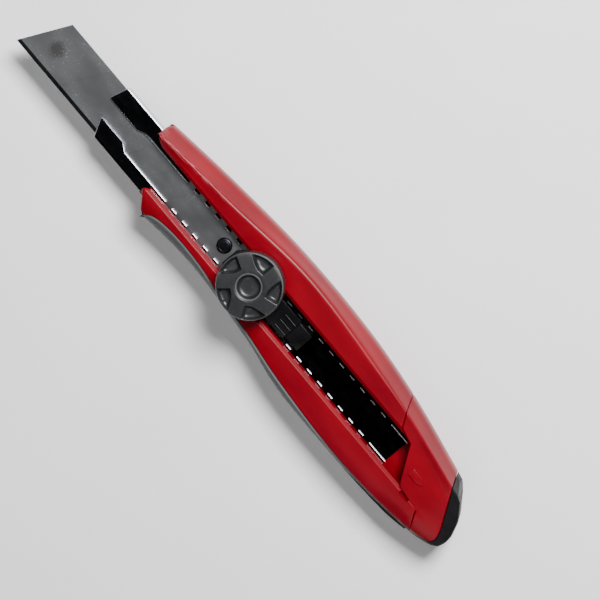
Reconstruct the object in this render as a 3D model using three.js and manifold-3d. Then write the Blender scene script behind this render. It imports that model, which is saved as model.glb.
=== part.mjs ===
// Heavy-duty snap-off utility knife with a screw lock wheel.
//
// Millimetres. X runs forward to the blade's tip, Y towards the cutting edge (the belly side of the
// handle) and Z out of the face that carries the wheel. The origin lies on the flat back face,
// straight behind the wheel's axis.

import * as THREE from "three";
import { mergeVertices } from "three/addons/utils/BufferGeometryUtils.js";
import Module from "manifold-3d";

const wasm = await Module();
wasm.setup();

// ---------------------------------------------------------------- driving dimensions

// Handle
const handleLength = 167.2;
const noseFront = 58.6; // spine nose, ahead of the wheel's axis
const bellyNoseSetback = 10.4; // how far the belly nose stays behind the spine nose
const spineSwell = 8.3; // most that the handle stands out past the channel, spine side
const bellySwell = 8.5; // the same on the belly side
const undersideHeight = 8.8; // from the back face to the channel's underside
const faceHeight = 4.8; // from the blade to the flat part of the face
const ridgeHeight = 0.8; // the spine ridge above the face
const partingHeight = 7.0; // plane in which the two shells meet
const shellWall = 2.2;
const ribThickness = 1.5;
const bayLength = 17.5; // pitch of the cross ribs
const slotWidth = 12.3;
const slotChamfer = 1.15;
const seamGap = 0.15; // clearance between mouldings that meet along a curve

// Rubber grip and tail
const gripThickness = 1.4;
const gripBottom = 2.4; // lower edge of the grip, above the back face
const gripKeyDepth = 1.4; // how far the grip's key reaches in between the shells
const gripKeyHeight = 1.4;
const capWall = 1.8;
const capRunningGap = 0.2;
const capSpigotLength = 31; // shell that stays inside the cap, from the parting at the spine

// Blade and channel
const bladeWidth = 18;
const bladeThickness = 0.5;
const bladeLength = 107;
const bladeReach = 113.6; // tip, ahead of the wheel's axis
const bladeSlant = 8.7; // how far the spine corner of the tip lies behind the point
const bevelWidth = 1.35;
const segmentPitch = 10.3;
const segmentCount = 8;
const scoreDepth = 0.12;
const scoreWidth = 0.3;
const pinHeadDiameter = 5.3;
const pinBehindTip = 97.7;
const pinStemDiameter = 3;
const pinHeadHeight = 0.9; // above the blade
const runningGap = 0.1; // between sliding flat faces
const bladeSideGap = 0.3;
const lipGap = 0.2; // between the blade and the channel's lips
const sheet = 0.8;
const channelFront = 78.8;
const channelTail = 34.2; // channel's rear end, ahead of the butt
const lipOffset = 0.5; // the gap between the lips sits this far to the belly side
const lipOpening = 9.4;
const tabOpening = 6.2; // between the front tabs, which stop the slider
const tabCentre = 0.3;
const tabRear = 64.1;
const tabStep = 2.6; // length of the sloping step behind the tabs
const toothPitch = 5.41;
const toothWidth = 2.2;
const notchDepth = 1.6;
const firstNotch = 38.2;
const lastPlainLip = 8.2; // plain lip behind the last notch

// Slider
const tongueThickness = 1.2;
const carrierRear = -26;
const carrierFront = 24;
const carrierSideGap = 0.2;
const neckWidth = 8.7;
const neckFront = 12;
const neckRear = -20.4;
const neckTop = 1.6; // neck above the lips
const padLength = 18;
const padWidth = 11.6;
const thumbRibWidth = 0.9;
const thumbRibPitch = 2.4;
const thumbRibHeight = 0.5;
const thumbRibLength = 5.1;
const thumbRibCount = 3;
const springThickness = 0.25;
const springWidth = 1.2;
const springLength = 14;

// Clamp
const studDiameter = 4;
const studFlats = 3.3;
const studHeadDiameter = 8;
const studHeadHeight = 1;
const threadPitch = 0.7;
const holeGap = 0.1; // radial clearance of shafts in holes
const washerDiameter = 11;
const washerThickness = 0.8;
const washerGap = 0.05; // between the slider's pad and the washer
const wheelDiameter = 23;
const wheelHeight = 7.2;
const wheelAboveFace = 1.1;
const wheelPockets = 5;
const wheelPocketDepth = 1.5;
const pocketInner = 6.7; // radii of a pocket's inner and outer side
const pocketOuter = 10.6;
const pocketSpan = (42 * Math.PI) / 180;
const pocketStart = (-17.2 * Math.PI) / 180; // where the straight side of one pocket stands
const insertDiameter = 8;
const insertHeight = 2.3;
const stopRingDiameter = 7;
const stopRingThickness = 0.6;
const wheelDishDiameter = 9.4;
const wheelDishDepth = 1.7;

// Shell screws
const screwBesideChannel = 2.3;
const screwHeadDiameter = 4.4;
const screwHeadHeight = 1.8;
const screwShankDiameter = 2.6;
const screwLength = 12;
const screwRecess = 0.6;
const bossDiameter = 7;
const screwPlaces = [
  [12, "spine"],
  [-44, "spine"],
  [-33, "belly"],
  [-84, "belly"],
];

// ---------------------------------------------------------------- worked-out places

const butt = noseFront - handleLength;
const channelHalf = bladeWidth / 2 + bladeSideGap + sheet;
const channelFloor = undersideHeight + sheet;
const bladeBottom = channelFloor + runningGap + tongueThickness + runningGap;
const bladeTop = bladeBottom + bladeThickness;
const lipBottom = bladeTop + lipGap;
const lipTop = lipBottom + sheet;
const faceTop = bladeTop + faceHeight;
const channelRear = butt + channelTail;
const slotHalf = slotWidth / 2;
const faceStart = slotHalf + slotChamfer;
const slotRear = channelRear - 9.6;
const bladeRear = bladeReach - bladeLength;
const padTop = faceTop + wheelAboveFace - washerThickness - washerGap - runningGap;
const wheelBottom = faceTop + wheelAboveFace;
const wheelTop = wheelBottom + wheelHeight;
const insertBottom = wheelBottom + 0.8;
const insertTop = insertBottom + insertHeight;
const stopRingBottom = insertTop + threadPitch + 0.05;
const dishBottom = wheelTop - wheelDishDepth;
const capFrontSpine = channelRear + 10.8; // the cap's parting line where it meets the spine outline
const spigotRear = capFrontSpine - capSpigotLength;

// ---------------------------------------------------------------- curves of the handle

// A smooth value along X through [x, value] points given from rear to front.
function smooth(points) {
  const slope = (i) => {
    const before = points[Math.max(i - 1, 0)];
    const after = points[Math.min(i + 1, points.length - 1)];
    return (after[1] - before[1]) / (after[0] - before[0]);
  };
  return (x) => {
    const last = points.length - 1;
    if (x <= points[0][0]) return points[0][1] + slope(0) * (x - points[0][0]);
    if (x >= points[last][0]) return points[last][1] + slope(last) * (x - points[last][0]);
    const i = points.findIndex((p) => p[0] > x) - 1;
    const span = points[i + 1][0] - points[i][0];
    const t = (x - points[i][0]) / span;
    const start = points[i][1] * (1 + 2 * t) * (1 - t) ** 2 + points[i + 1][1] * t * t * (3 - 2 * t);
    return start + span * (slope(i) * t * (1 - t) ** 2 + slope(i + 1) * t * t * (t - 1));
  };
}

// Spine and belly outlines as widths past the channel's wall.
const spineOutline = smooth([
  [butt - 1.4, spineSwell - 11.9],
  [butt + 16.6, spineSwell - 8],
  [butt + 45, spineSwell - 2.9],
  [butt + 72, spineSwell - 0.3],
  [-3, spineSwell - 0.1],
  [30, spineSwell - 2.7],
  [60, spineSwell - 6.3],
]);
const bellyOutline = smooth([
  [butt - 1.4, bellySwell - 6.2],
  [butt + 11.6, bellySwell - 3.3],
  [butt + 39, bellySwell - 0.4],
  [-40, bellySwell],
  [-28, bellySwell - 0.8],
  [-16, bellySwell - 2.9],
  [3, bellySwell - 4.7],
  [17, bellySwell - 5.4],
  [30, bellySwell - 4.8],
  [42, bellySwell - 3.3],
  [50, bellySwell - 2.2],
]);
// How far the spine ridge lies inside the spine outline.
const ridgeInset = smooth([
  [butt, 2.2],
  [-49, 3.2],
  [-10, 2.2],
  [23, 4],
  [60, 3.4],
]);
// Inner edge of the rubber grip on the face, as a width past the channel's wall.
const gripEdge = smooth([
  [butt + 11.4, 4],
  [butt + 22, 5.8],
  [-60, 6.5],
  [-30, 4.8],
  [-7, 2.1],
  [3, 1.7],
  [17, -0.2],
  [30, -0.3],
  [38.8, 1.4],
  [42, 4.5],
]);

// ---------------------------------------------------------------- solids

function toSolid(geometry) {
  geometry.deleteAttribute("normal");
  geometry.deleteAttribute("uv");
  const merged = mergeVertices(geometry, 1e-5);
  const solid = new wasm.Manifold(
    new wasm.Mesh({
      numProp: 3,
      vertProperties: new Float32Array(merged.attributes.position.array),
      triVerts: new Uint32Array(merged.index.array),
    }),
  );
  return solid;
}

function toGeometry(solid) {
  const mesh = solid.getMesh();
  const geometry = new THREE.BufferGeometry();
  geometry.setAttribute("position", new THREE.BufferAttribute(mesh.vertProperties, 3));
  geometry.setIndex(new THREE.BufferAttribute(mesh.triVerts, 1));
  return geometry;
}

function box([x0, x1], [y0, y1], [z0, z1]) {
  const geometry = new THREE.BoxGeometry(x1 - x0, y1 - y0, z1 - z0);
  return toSolid(geometry.translate((x0 + x1) / 2, (y0 + y1) / 2, (z0 + z1) / 2));
}

// A plan outline in X and Y, raised from z0 to z1.
function prism(outline, z0, z1) {
  const shape = new THREE.Shape(outline.map(([x, y]) => new THREE.Vector2(x, y)));
  const geometry = new THREE.ExtrudeGeometry(shape, { depth: z1 - z0, bevelEnabled: false });
  return toSolid(geometry.translate(0, 0, z0));
}

// A cross-section in Y and Z, run along X from x0 to x1.
function rail(section, x0, x1) {
  const shape = new THREE.Shape(section.map(([y, z]) => new THREE.Vector2(y, z)));
  const geometry = new THREE.ExtrudeGeometry(shape, { depth: x1 - x0, bevelEnabled: false });
  const turn = new THREE.Matrix4().set(0, 0, 1, x0, 1, 0, 0, 0, 0, 1, 0, 0, 0, 0, 0, 1);
  return toSolid(geometry.applyMatrix4(turn));
}

function cylinder(diameter, z0, z1, [x, y] = [0, 0], sides = 32) {
  const geometry = new THREE.CylinderGeometry(diameter / 2, diameter / 2, z1 - z0, sides);
  return toSolid(geometry.rotateX(Math.PI / 2).translate(x, y, (z0 + z1) / 2));
}

// A profile of [radius, z] points turned about Z, running from the lowest point on the axis outwards
// and up to the highest point on the axis.
function turned(profile, [x, y] = [0, 0], sides = 48) {
  const points = profile.map(([r, z]) => new THREE.Vector2(r, z));
  const geometry = new THREE.LatheGeometry(points, sides);
  return toSolid(geometry.rotateX(Math.PI / 2).translate(x, y, 0));
}

// A closed body through cross-sections that all have the same number of [y, z] points.
function loft(stations, sectionAt) {
  const rings = stations.map((x) => sectionAt(x).map(([y, z]) => new THREE.Vector3(x, y, z)));
  const count = rings[0].length;
  const corners = rings.flat();
  const faces = [];
  for (let i = 0; i < rings.length - 1; i += 1) {
    for (let j = 0; j < count; j += 1) {
      const a = i * count + j;
      const b = i * count + ((j + 1) % count);
      faces.push(a, b, a + count, b, b + count, a + count);
    }
  }
  const end = rings[0].map((p) => new THREE.Vector2(p.y, p.z));
  const last = (rings.length - 1) * count;
  for (const [a, b, c] of THREE.ShapeUtils.triangulateShape(end, [])) {
    faces.push(c, b, a);
  }
  const front = rings.at(-1).map((p) => new THREE.Vector2(p.y, p.z));
  for (const [a, b, c] of THREE.ShapeUtils.triangulateShape(front, [])) {
    faces.push(last + a, last + b, last + c);
  }
  const geometry = new THREE.BufferGeometry().setFromPoints(corners);
  geometry.setIndex(faces);
  return toSolid(geometry);
}

// A plan outline with every edge moved outwards by a distance. Points run anticlockwise.
function grown(outline, distance) {
  const count = outline.length;
  return outline.map((point, i) => {
    const corner = new THREE.Vector2(...point);
    const before = new THREE.Vector2(...outline[(i + count - 1) % count]);
    const after = new THREE.Vector2(...outline[(i + 1) % count]);
    const inward = corner.clone().sub(before).normalize();
    const outward = after.sub(corner).normalize();
    const normalIn = new THREE.Vector2(inward.y, -inward.x);
    const normalOut = new THREE.Vector2(outward.y, -outward.x);
    const middle = normalIn.add(normalOut).normalize();
    const stretch = distance / Math.max(middle.dot(normalOut), 0.3);
    return [corner.x + middle.x * stretch, corner.y + middle.y * stretch];
  });
}

function union(solids) {
  return solids.reduce((all, solid) => all.add(solid));
}

// ---------------------------------------------------------------- handle envelope

// Cross-section of the handle, taken in by a wall thickness. The tail tucks in towards the butt.
function handleSection(x, inset) {
  const spine = channelHalf + spineOutline(x) - inset;
  const belly = channelHalf + bellyOutline(x) - inset;
  const ridge = spine - ridgeInset(x) + 0.4 * inset;
  const tuck = Math.min(Math.max((butt + 16 - x) / 16, 0), 1.1) ** 2;
  const top = faceTop - inset - 2.6 * tuck;
  const crest = top + ridgeHeight;
  const low = inset + 2.2 * tuck;
  const height = crest - low;
  const lean = spine - ridge;
  return [
    [-spine + 2.6, low],
    [belly - 2.8, low],
    [belly - 1.1, low + 0.06 * height],
    [belly - 0.25, low + 0.18 * height],
    [belly, low + 0.36 * height],
    [belly, low + 0.58 * height],
    [belly - 0.5, low + 0.74 * height],
    [belly - 1.8, low + 0.865 * height],
    [(faceStart + belly - 1.8) / 2, top - 0.3],
    [faceStart - 0.5 * inset, top],
    [-Math.min(faceStart - 0.5 * inset, ridge - 1), top],
    [-ridge, crest],
    [-ridge - 0.55 * lean, crest - 0.28 * height],
    [-ridge - 0.9 * lean, crest - 0.42 * height],
    [-spine, low + 0.4 * height],
    [-spine + 0.25, low + 0.2 * height],
    [-spine + 1, low + 0.065 * height],
  ];
}

function handleStations() {
  const stations = [];
  for (let i = 0; i <= 30; i += 1) {
    stations.push(butt - 1 + (i * (handleLength + 3)) / 30);
  }
  return stations;
}

function envelope(inset) {
  return loft(handleStations(), (x) => handleSection(x, inset));
}

const tall = [-1, 40]; // z range that spans the whole handle
const wide = 40; // past every side of the handle
const bellyNose = noseFront - bellyNoseSetback;

// Plan outline of the handle's two noses and its butt, left wide at the sides.
function handlePlan() {
  return [
    [noseFront, -wide],
    [noseFront, -channelHalf + 0.6],
    [noseFront - 0.7, -slotHalf - 1.8],
    [noseFront - 2, -slotHalf - 0.8],
    [noseFront - 4, -slotHalf],
    [bellyNose - 0.8, slotHalf],
    [bellyNose, slotHalf + 1.3],
    [bellyNose - 1.7, slotHalf + 3],
    [bellyNose - 6.4, slotHalf + 9.4],
    [bellyNose - 8, wide],
    [butt + 5, wide],
    [butt + 5, channelHalf + 3.2],
    [butt + 2.2, channelHalf + 2.1],
    [butt + 0.5, channelHalf + 0.4],
    [butt, channelHalf - 2.4],
    [butt + 0.3, channelHalf - 5.1],
    [butt + 2.9, -0.5],
    [butt + 8.3, -6],
    [butt + 15.2, -channelHalf - 1.7],
    [butt + 22, -wide],
  ];
}

// Plan outline of the tail cap's region, behind its parting line.
function capPlan() {
  const edge = channelRear;
  return [
    [butt - wide, -wide],
    [edge + 27, -wide],
    [edge + 5.1, -faceStart + 0.6],
    [edge - 0.2, -slotHalf],
    [edge - 8.7, slotHalf],
    [butt + 15.3, slotHalf + 1.1],
    [butt + 14.7, slotHalf + 2.5],
    [butt + 11.6, channelHalf + 3.1],
    [butt + 9.2, wide],
    [butt - wide, wide],
  ];
}

// Plan outline of the rubber bumper's region, round the butt.
function bumperPlan() {
  return [
    [butt - wide, -wide],
    [butt + 20, -wide],
    [butt + 17.1, -channelHalf - 2.9],
    [butt + 13, -6.6],
    [butt + 8.3, 0.2],
    [butt + 5, 5],
    [butt + 3.3, channelHalf - 1.7],
    [butt + 3.3, channelHalf + 0.4],
    [butt + 4.3, channelHalf + 1.7],
    [butt + 7.6, channelHalf + 3.5],
    [butt + 11.6, channelHalf + 4.5],
    [butt + 11.6, wide],
    [butt - wide, wide],
  ];
}

// Plan outline of the grip's region, outside its edge on the face.
function gripPlan() {
  const rear = butt + 11.4;
  const front = bellyNose - 6.4;
  const steps = 16;
  const outline = [[front + 0.2, wide]];
  outline.push([rear, wide]);
  for (let i = 0; i <= steps; i += 1) {
    const x = rear + ((front - rear) * i) / steps;
    outline.push([x, channelHalf + gripEdge(x)]);
  }
  return outline;
}

const wholeHandle = envelope(0).intersect(prism(handlePlan(), ...tall));

// The ring of the grip's key, between two depths below the surface.
function gripKey(gap) {
  const zone = box(
    [butt + 28 - gap, -24 + gap],
    [0, wide],
    [partingHeight - gripKeyHeight / 2 - gap, partingHeight + gripKeyHeight / 2 + gap],
  );
  const band = envelope(gripThickness - 0.1).subtract(envelope(gripThickness + gripKeyDepth + gap));
  return band.intersect(zone);
}

// Screw centres stand just outside the channel's pocket, on the spine side or the belly side.
function screwCentre([x, side]) {
  const y = channelHalf + screwBesideChannel;
  return [x, side === "spine" ? -y : y];
}

// ---------------------------------------------------------------- shells

// Both shells as one body: the visible handle ahead of the cap, and the spigot inside the cap.
function shellsTogether() {
  const outer = wholeHandle.subtract(prism(grown(capPlan(), seamGap / 2), ...tall));
  // The spigot's top is flat, so that the cap's ridge passes over it.
  const spigotTop = faceTop - capWall - capRunningGap;
  const spigot = envelope(capWall + capRunningGap)
    .intersect(box([spigotRear, capFrontSpine + 12], [-wide, slotHalf + 3], [tall[0], spigotTop]))
    .intersect(prism(handlePlan(), ...tall));
  const gripSpace = prism(grown(gripPlan(), seamGap / 2), gripBottom - seamGap, wide).subtract(
    envelope(gripThickness + seamGap),
  );
  return outer.add(spigot).subtract(gripSpace).subtract(gripKey(runningGap));
}

const shells = shellsTogether();

// Bays between the cross ribs, from the rear, within a range of Y and Z.
function bays([y0, y1], [z0, z1], front) {
  const boxes = [];
  for (let x = spigotRear + 2 * ribThickness; x + bayLength < front; x += bayLength) {
    boxes.push(box([x, x + bayLength - ribThickness], [y0, y1], [z0, z1]));
  }
  return union(boxes);
}

function bosses(z0, z1) {
  return union(screwPlaces.map((place) => cylinder(bossDiameter, z0, z1, screwCentre(place), 24)));
}

function frontShell() {
  const inside = envelope(shellWall + gripThickness);
  const pocketHalf = channelHalf + 0.15;
  const pocketTop = lipTop + runningGap;
  const pocket = box([channelRear - 0.3, noseFront + 5], [-pocketHalf, pocketHalf], [0, pocketTop]);
  const slot = box([slotRear, noseFront + 5], [-slotHalf, slotHalf], [undersideHeight, wide]);
  const flare = rail(
    [
      [-slotHalf - 0.01, faceTop - 0.9],
      [slotHalf + 0.01, faceTop - 0.9],
      [faceStart + 0.8, faceTop + 0.6],
      [-faceStart - 0.8, faceTop + 0.6],
    ],
    channelRear - 0.3,
    noseFront + 5,
  );
  const sideWall = pocketHalf + ribThickness;
  const coring = bays([-wide, -sideWall], [0, wide], 52)
    .add(bays([sideWall, wide], [0, wide], 0))
    .intersect(inside)
    .subtract(bosses(0, wide));
  const pilots = screwPlaces.map((place) =>
    cylinder(screwShankDiameter + 2 * holeGap, 0, screwRecess + screwLength + 0.5, screwCentre(place), 20),
  );
  const notch = box([butt + 19.3, butt + 23.9], [slotHalf, slotHalf + 1.9], [faceTop - 1.2, wide]);
  return shells
    .intersect(box([-200, 200], [-wide, wide], [partingHeight, wide]))
    .subtract(pocket)
    .subtract(slot)
    .subtract(flare)
    .subtract(notch)
    .subtract(coring)
    .subtract(union(pilots));
}

const locatorPlaces = [40, channelRear + 14];
const locatorDiameter = 2.6;

function backShell() {
  const inside = envelope(shellWall + gripThickness);
  const ribHalf = ribThickness / 2;
  const railCentre = channelHalf - 1.4;
  const middleHalf = locatorDiameter / 2 + 0.2;
  const lanes = [
    [-wide, -railCentre - ribHalf],
    [-railCentre + ribHalf, -middleHalf],
    [middleHalf, railCentre - ribHalf],
    [railCentre + ribHalf, wide],
  ];
  const coring = union(lanes.map((lane) => bays(lane, [shellWall, wide], 52)))
    .intersect(inside.add(box([-200, 200], [-channelHalf, channelHalf], [shellWall, wide])))
    .subtract(bosses(0, wide));
  const supportTop = undersideHeight - runningGap;
  const supports = [-railCentre, 0, railCentre].map((y) => {
    const half = y === 0 ? middleHalf : ribHalf;
    return box([channelRear + 1, bellyNose - 4], [y - half, y + half], [shellWall, supportTop]);
  });
  const locators = locatorPlaces.map((x) =>
    cylinder(locatorDiameter, shellWall, channelFloor - runningGap, [x, 0], 20),
  );
  const holes = screwPlaces.map((place) => {
    const centre = screwCentre(place);
    const bore = cylinder(screwShankDiameter + 2 * holeGap, -1, wide, centre, 20);
    const seat = cylinder(screwHeadDiameter + 4 * holeGap, -1, screwRecess + screwHeadHeight, centre, 24);
    return bore.add(seat);
  });
  return shells
    .intersect(box([-200, 200], [-wide, wide], [-1, partingHeight]))
    .subtract(coring)
    .add(union(supports))
    .add(union(locators))
    .subtract(union(holes));
}

function bellyGrip() {
  return wholeHandle
    .intersect(prism(gripPlan(), gripBottom, wide))
    .subtract(envelope(gripThickness))
    .add(gripKey(0).intersect(prism(gripPlan(), ...tall)))
    .subtract(prism(grown(capPlan(), seamGap), ...tall));
}

// The hollow that the spigot slides in. A wider handle carries it on into the bumper.
function capHollow() {
  return envelope(capWall).intersect(box([spigotRear - 0.4, wide], [-wide, wide], tall));
}

function tailCap() {
  return wholeHandle
    .intersect(prism(grown(capPlan(), -seamGap / 2), ...tall))
    .subtract(capHollow())
    .subtract(prism(grown(bumperPlan(), seamGap / 2), ...tall));
}

function tailBumper() {
  return wholeHandle
    .intersect(prism(grown(capPlan(), -seamGap / 2), ...tall))
    .subtract(capHollow())
    .intersect(prism(grown(bumperPlan(), -seamGap / 2), ...tall));
}

// ---------------------------------------------------------------- channel and blade

function channelPlan() {
  return [
    [channelRear, -channelHalf - 1],
    [channelFront - 2.6, -channelHalf - 1],
    [channelFront, -slotHalf + 2.3],
    [channelFront - 0.3, -tabOpening / 2 + tabCentre],
    [channelFront - 3.3, tabOpening / 2 + tabCentre + 0.4],
    [channelFront - 3.7, tabOpening / 2 + tabCentre + 1],
    [channelFront - 7, channelHalf + 1],
    [channelRear, channelHalf + 1],
  ];
}

// Plan outline of the gap between the lips, with the narrower gap between the front tabs.
function lipPlan() {
  const half = lipOpening / 2;
  const tab = tabOpening / 2;
  return [
    [channelRear - 1, lipOffset - half],
    [tabRear - tabStep, lipOffset - half],
    [tabRear, tabCentre - tab],
    [channelFront + 1, tabCentre - tab],
    [channelFront + 1, tabCentre + tab],
    [tabRear, tabCentre + tab],
    [tabRear - tabStep, lipOffset + half],
    [channelRear - 1, lipOffset + half],
  ];
}

function roundedBar(half, low, high, corner) {
  return [
    [-half + corner, low],
    [half - corner, low],
    [half - 0.3 * corner, low + 0.3 * corner],
    [half, low + corner],
    [half, high - corner],
    [half - 0.3 * corner, high - 0.3 * corner],
    [half - corner, high],
    [-half + corner, high],
    [-half + 0.3 * corner, high - 0.3 * corner],
    [-half, high - corner],
    [-half, low + corner],
    [-half + 0.3 * corner, low + 0.3 * corner],
  ];
}

function notchCentres() {
  const centres = [];
  for (let x = firstNotch; x > channelRear + lastPlainLip; x -= toothPitch) {
    centres.push(x);
  }
  return centres;
}

function bladeChannel() {
  const outer = rail(roundedBar(channelHalf, undersideHeight, lipTop, 1), channelRear, channelFront);
  const inner = rail(
    roundedBar(channelHalf - sheet, channelFloor, lipBottom, 0.3),
    channelRear - 1,
    channelFront + 1,
  );
  const half = (toothPitch - toothWidth) / 2;
  const reach = lipOpening / 2 + notchDepth;
  const notches = notchCentres().map((x) =>
    box([x - half, x + half], [lipOffset - reach, lipOffset + reach], [lipBottom - 0.3, lipTop + 1]),
  );
  const locatorHoles = locatorPlaces.map((x) =>
    cylinder(locatorDiameter + 4 * holeGap, 0, channelFloor + 0.5, [x, 0], 20),
  );
  return outer
    .subtract(inner)
    .subtract(prism(lipPlan(), lipBottom - 0.3, lipTop + 1))
    .subtract(union(notches))
    .subtract(union(locatorHoles))
    .intersect(prism(channelPlan(), ...tall));
}

function blade() {
  const half = bladeWidth / 2;
  const middle = (bladeBottom + bladeTop) / 2;
  const section = [
    [-half, bladeBottom],
    [half - bevelWidth, bladeBottom],
    [half, middle],
    [half - bevelWidth, bladeTop],
    [-half, bladeTop],
  ];
  const outline = [
    [bladeRear, -half - 1],
    [bladeReach - bladeSlant * (1 + 1 / bladeWidth), -half - 1],
    [bladeReach + bladeSlant / bladeWidth, half + 1],
    [bladeRear, half + 1],
  ];
  const hole = cylinder(pinHeadDiameter + 2 * holeGap, 0, wide, [bladeReach - pinBehindTip, 0]);
  const scores = [];
  for (let i = 1; i < segmentCount; i += 1) {
    const point = bladeReach - i * segmentPitch;
    const groove = [
      [point - bladeSlant * (1 + 1 / bladeWidth), -half - 1],
      [point - bladeSlant * (1 + 1 / bladeWidth) + scoreWidth, -half - 1],
      [point + bladeSlant / bladeWidth + scoreWidth, half + 1],
      [point + bladeSlant / bladeWidth, half + 1],
    ];
    scores.push(prism(groove, bladeTop - scoreDepth, bladeTop + 1));
  }
  return rail(section, bladeRear - 1, bladeReach + 1)
    .intersect(prism(outline, ...tall))
    .subtract(hole)
    .subtract(union(scores));
}

// ---------------------------------------------------------------- slider

const pinPlace = [bladeReach - pinBehindTip, 0];
const carrierBottom = channelFloor + runningGap;

function bladeCarrier() {
  const half = channelHalf - sheet - carrierSideGap;
  const tongueTop = bladeBottom - runningGap;
  const tongue = box([bladeRear - 0.5, carrierFront], [-half, half], [carrierBottom, tongueTop]);
  const block = box([carrierRear, bladeRear - 0.4], [-half, half], [carrierBottom, bladeTop]);
  const seatTop = carrierBottom + studHeadHeight + runningGap;
  const headSeat = cylinder(studHeadDiameter + 2 * holeGap, 0, seatTop);
  return block
    .add(tongue)
    .subtract(headSeat)
    .subtract(cylinder(studDiameter + 2 * holeGap, 0, wide))
    .subtract(cylinder(pinStemDiameter + 2 * holeGap, 0, wide, pinPlace, 24));
}

function bladePin() {
  const head = pinHeadDiameter / 2;
  const stem = pinStemDiameter / 2;
  return turned(
    [
      [0, carrierBottom + 0.1],
      [stem, carrierBottom + 0.1],
      [stem, bladeBottom - runningGap],
      [head, bladeBottom - runningGap],
      [head, bladeTop + 0.45 * pinHeadHeight],
      [head - 0.5, bladeTop + 0.7 * pinHeadHeight],
      [head - 1.1, bladeTop + 0.92 * pinHeadHeight],
      [0, bladeTop + pinHeadHeight],
    ],
    pinPlace,
    32,
  );
}

const springTop = lipTop + 1;

// The slot that holds the click spring over the spine lip's teeth.
function springSlot() {
  const centre = lipOffset - lipOpening / 2 - 0.6;
  const reach = springWidth / 2 + runningGap;
  return box(
    [-springLength / 2 - 0.3, springLength / 2 + 0.3],
    [centre - reach, centre + reach],
    [lipTop, springTop + 0.1],
  );
}

function sliderSaddle() {
  const neck = box(
    [neckRear, neckFront],
    [lipOffset - neckWidth / 2, lipOffset + neckWidth / 2],
    [bladeTop, lipTop + neckTop],
  );
  const rearStep = box(
    [carrierRear - 0.7, neckRear],
    [lipOffset - 3.4, lipOffset + 3.6],
    [bladeTop, lipTop + 0.3],
  );
  const pad = box(
    [-padLength / 2, padLength / 2],
    [-padWidth / 2, padWidth / 2],
    [lipTop + runningGap, padTop],
  );
  const ribs = [];
  for (let i = 0; i < thumbRibCount; i += 1) {
    const y = lipOffset + 0.6 + (i - (thumbRibCount - 1) / 2) * thumbRibPitch;
    const x = [neckRear + 0.2, neckRear + 0.2 + thumbRibLength];
    const z = [lipTop, lipTop + neckTop + thumbRibHeight];
    ribs.push(box(x, [y - thumbRibWidth / 2, y + thumbRibWidth / 2], z));
  }
  return union([neck, rearStep, pad, ...ribs])
    .subtract(springSlot())
    .subtract(cylinder(studDiameter + 2 * holeGap, 0, wide));
}

// A bowed leaf with a nose at its middle, lying in its slot over the teeth.
function clickSpring() {
  const end = springLength / 2;
  const nose = 1.2;
  const low = lipTop + 0.05;
  const high = springTop - springThickness;
  const lower = [
    [-end, high],
    [-nose - 1, high - 0.35],
    [-nose, low],
    [nose, low],
    [nose + 1, high - 0.35],
    [end, high],
  ];
  const upper = lower.map(([x, z]) => [x, z + springThickness]).reverse();
  const shape = new THREE.Shape([...lower, ...upper].map(([x, z]) => new THREE.Vector2(x, z)));
  const geometry = new THREE.ExtrudeGeometry(shape, { depth: springWidth, bevelEnabled: false });
  const centre = lipOffset - lipOpening / 2 - 0.6;
  return toSolid(geometry.rotateX(Math.PI / 2).translate(0, centre + springWidth / 2, 0));
}

// ---------------------------------------------------------------- clamp

function flattened(solid, flats) {
  return solid.intersect(box([-wide, wide], [-flats / 2, flats / 2], tall));
}

function clampStud() {
  const shaftTop = dishBottom - 0.75;
  const head = cylinder(studHeadDiameter, carrierBottom, carrierBottom + studHeadHeight);
  const shaft = flattened(cylinder(studDiameter, carrierBottom, shaftTop), studFlats);
  const groove = cylinder(studDiameter + 1, stopRingBottom - 0.05, stopRingBottom + stopRingThickness + 0.05)
    .subtract(cylinder(studFlats - 0.5, 0, wide));
  return head.add(shaft).subtract(groove);
}

function thrustWasher() {
  const bore = flattened(cylinder(studDiameter + 2 * holeGap, 0, wide), studFlats + 2 * holeGap);
  const low = padTop + washerGap;
  return cylinder(washerDiameter, low, low + washerThickness, [0, 0], 40).subtract(bore);
}

function wheelInsert() {
  return cylinder(insertDiameter, insertBottom, insertTop, [0, 0], 6).subtract(
    cylinder(studDiameter + 2 * holeGap, 0, wide),
  );
}

function stopRing() {
  const top = stopRingBottom + stopRingThickness;
  const jaw = (studFlats - 0.5) / 2 + holeGap;
  const mouth = box([0, stopRingDiameter], [-jaw * 0.8, jaw * 0.8], [stopRingBottom - 1, top + 1]);
  return cylinder(stopRingDiameter, stopRingBottom, top)
    .subtract(cylinder(2 * jaw, 0, wide))
    .subtract(mouth);
}

// A pocket in the wheel's face, as a plan outline about the wheel's axis: one straight radial side,
// and an inner side that follows the dish and then swings out to the rim.
function wheelPocket(turn) {
  const steps = 10;
  const outline = [];
  for (let i = 0; i <= steps; i += 1) {
    const share = i / steps;
    const radius = pocketInner + (pocketOuter - pocketInner) * share ** 4;
    const angle = turn + share * pocketSpan;
    outline.push([radius * Math.cos(angle), radius * Math.sin(angle)]);
  }
  for (let i = steps - 1; i >= 0; i -= 1) {
    const angle = turn + (i / steps) * pocketSpan;
    outline.push([pocketOuter * Math.cos(angle), pocketOuter * Math.sin(angle)]);
  }
  return prism(outline.reverse(), wheelTop - 0.5 - wheelPocketDepth, wheelTop + 1);
}

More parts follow.
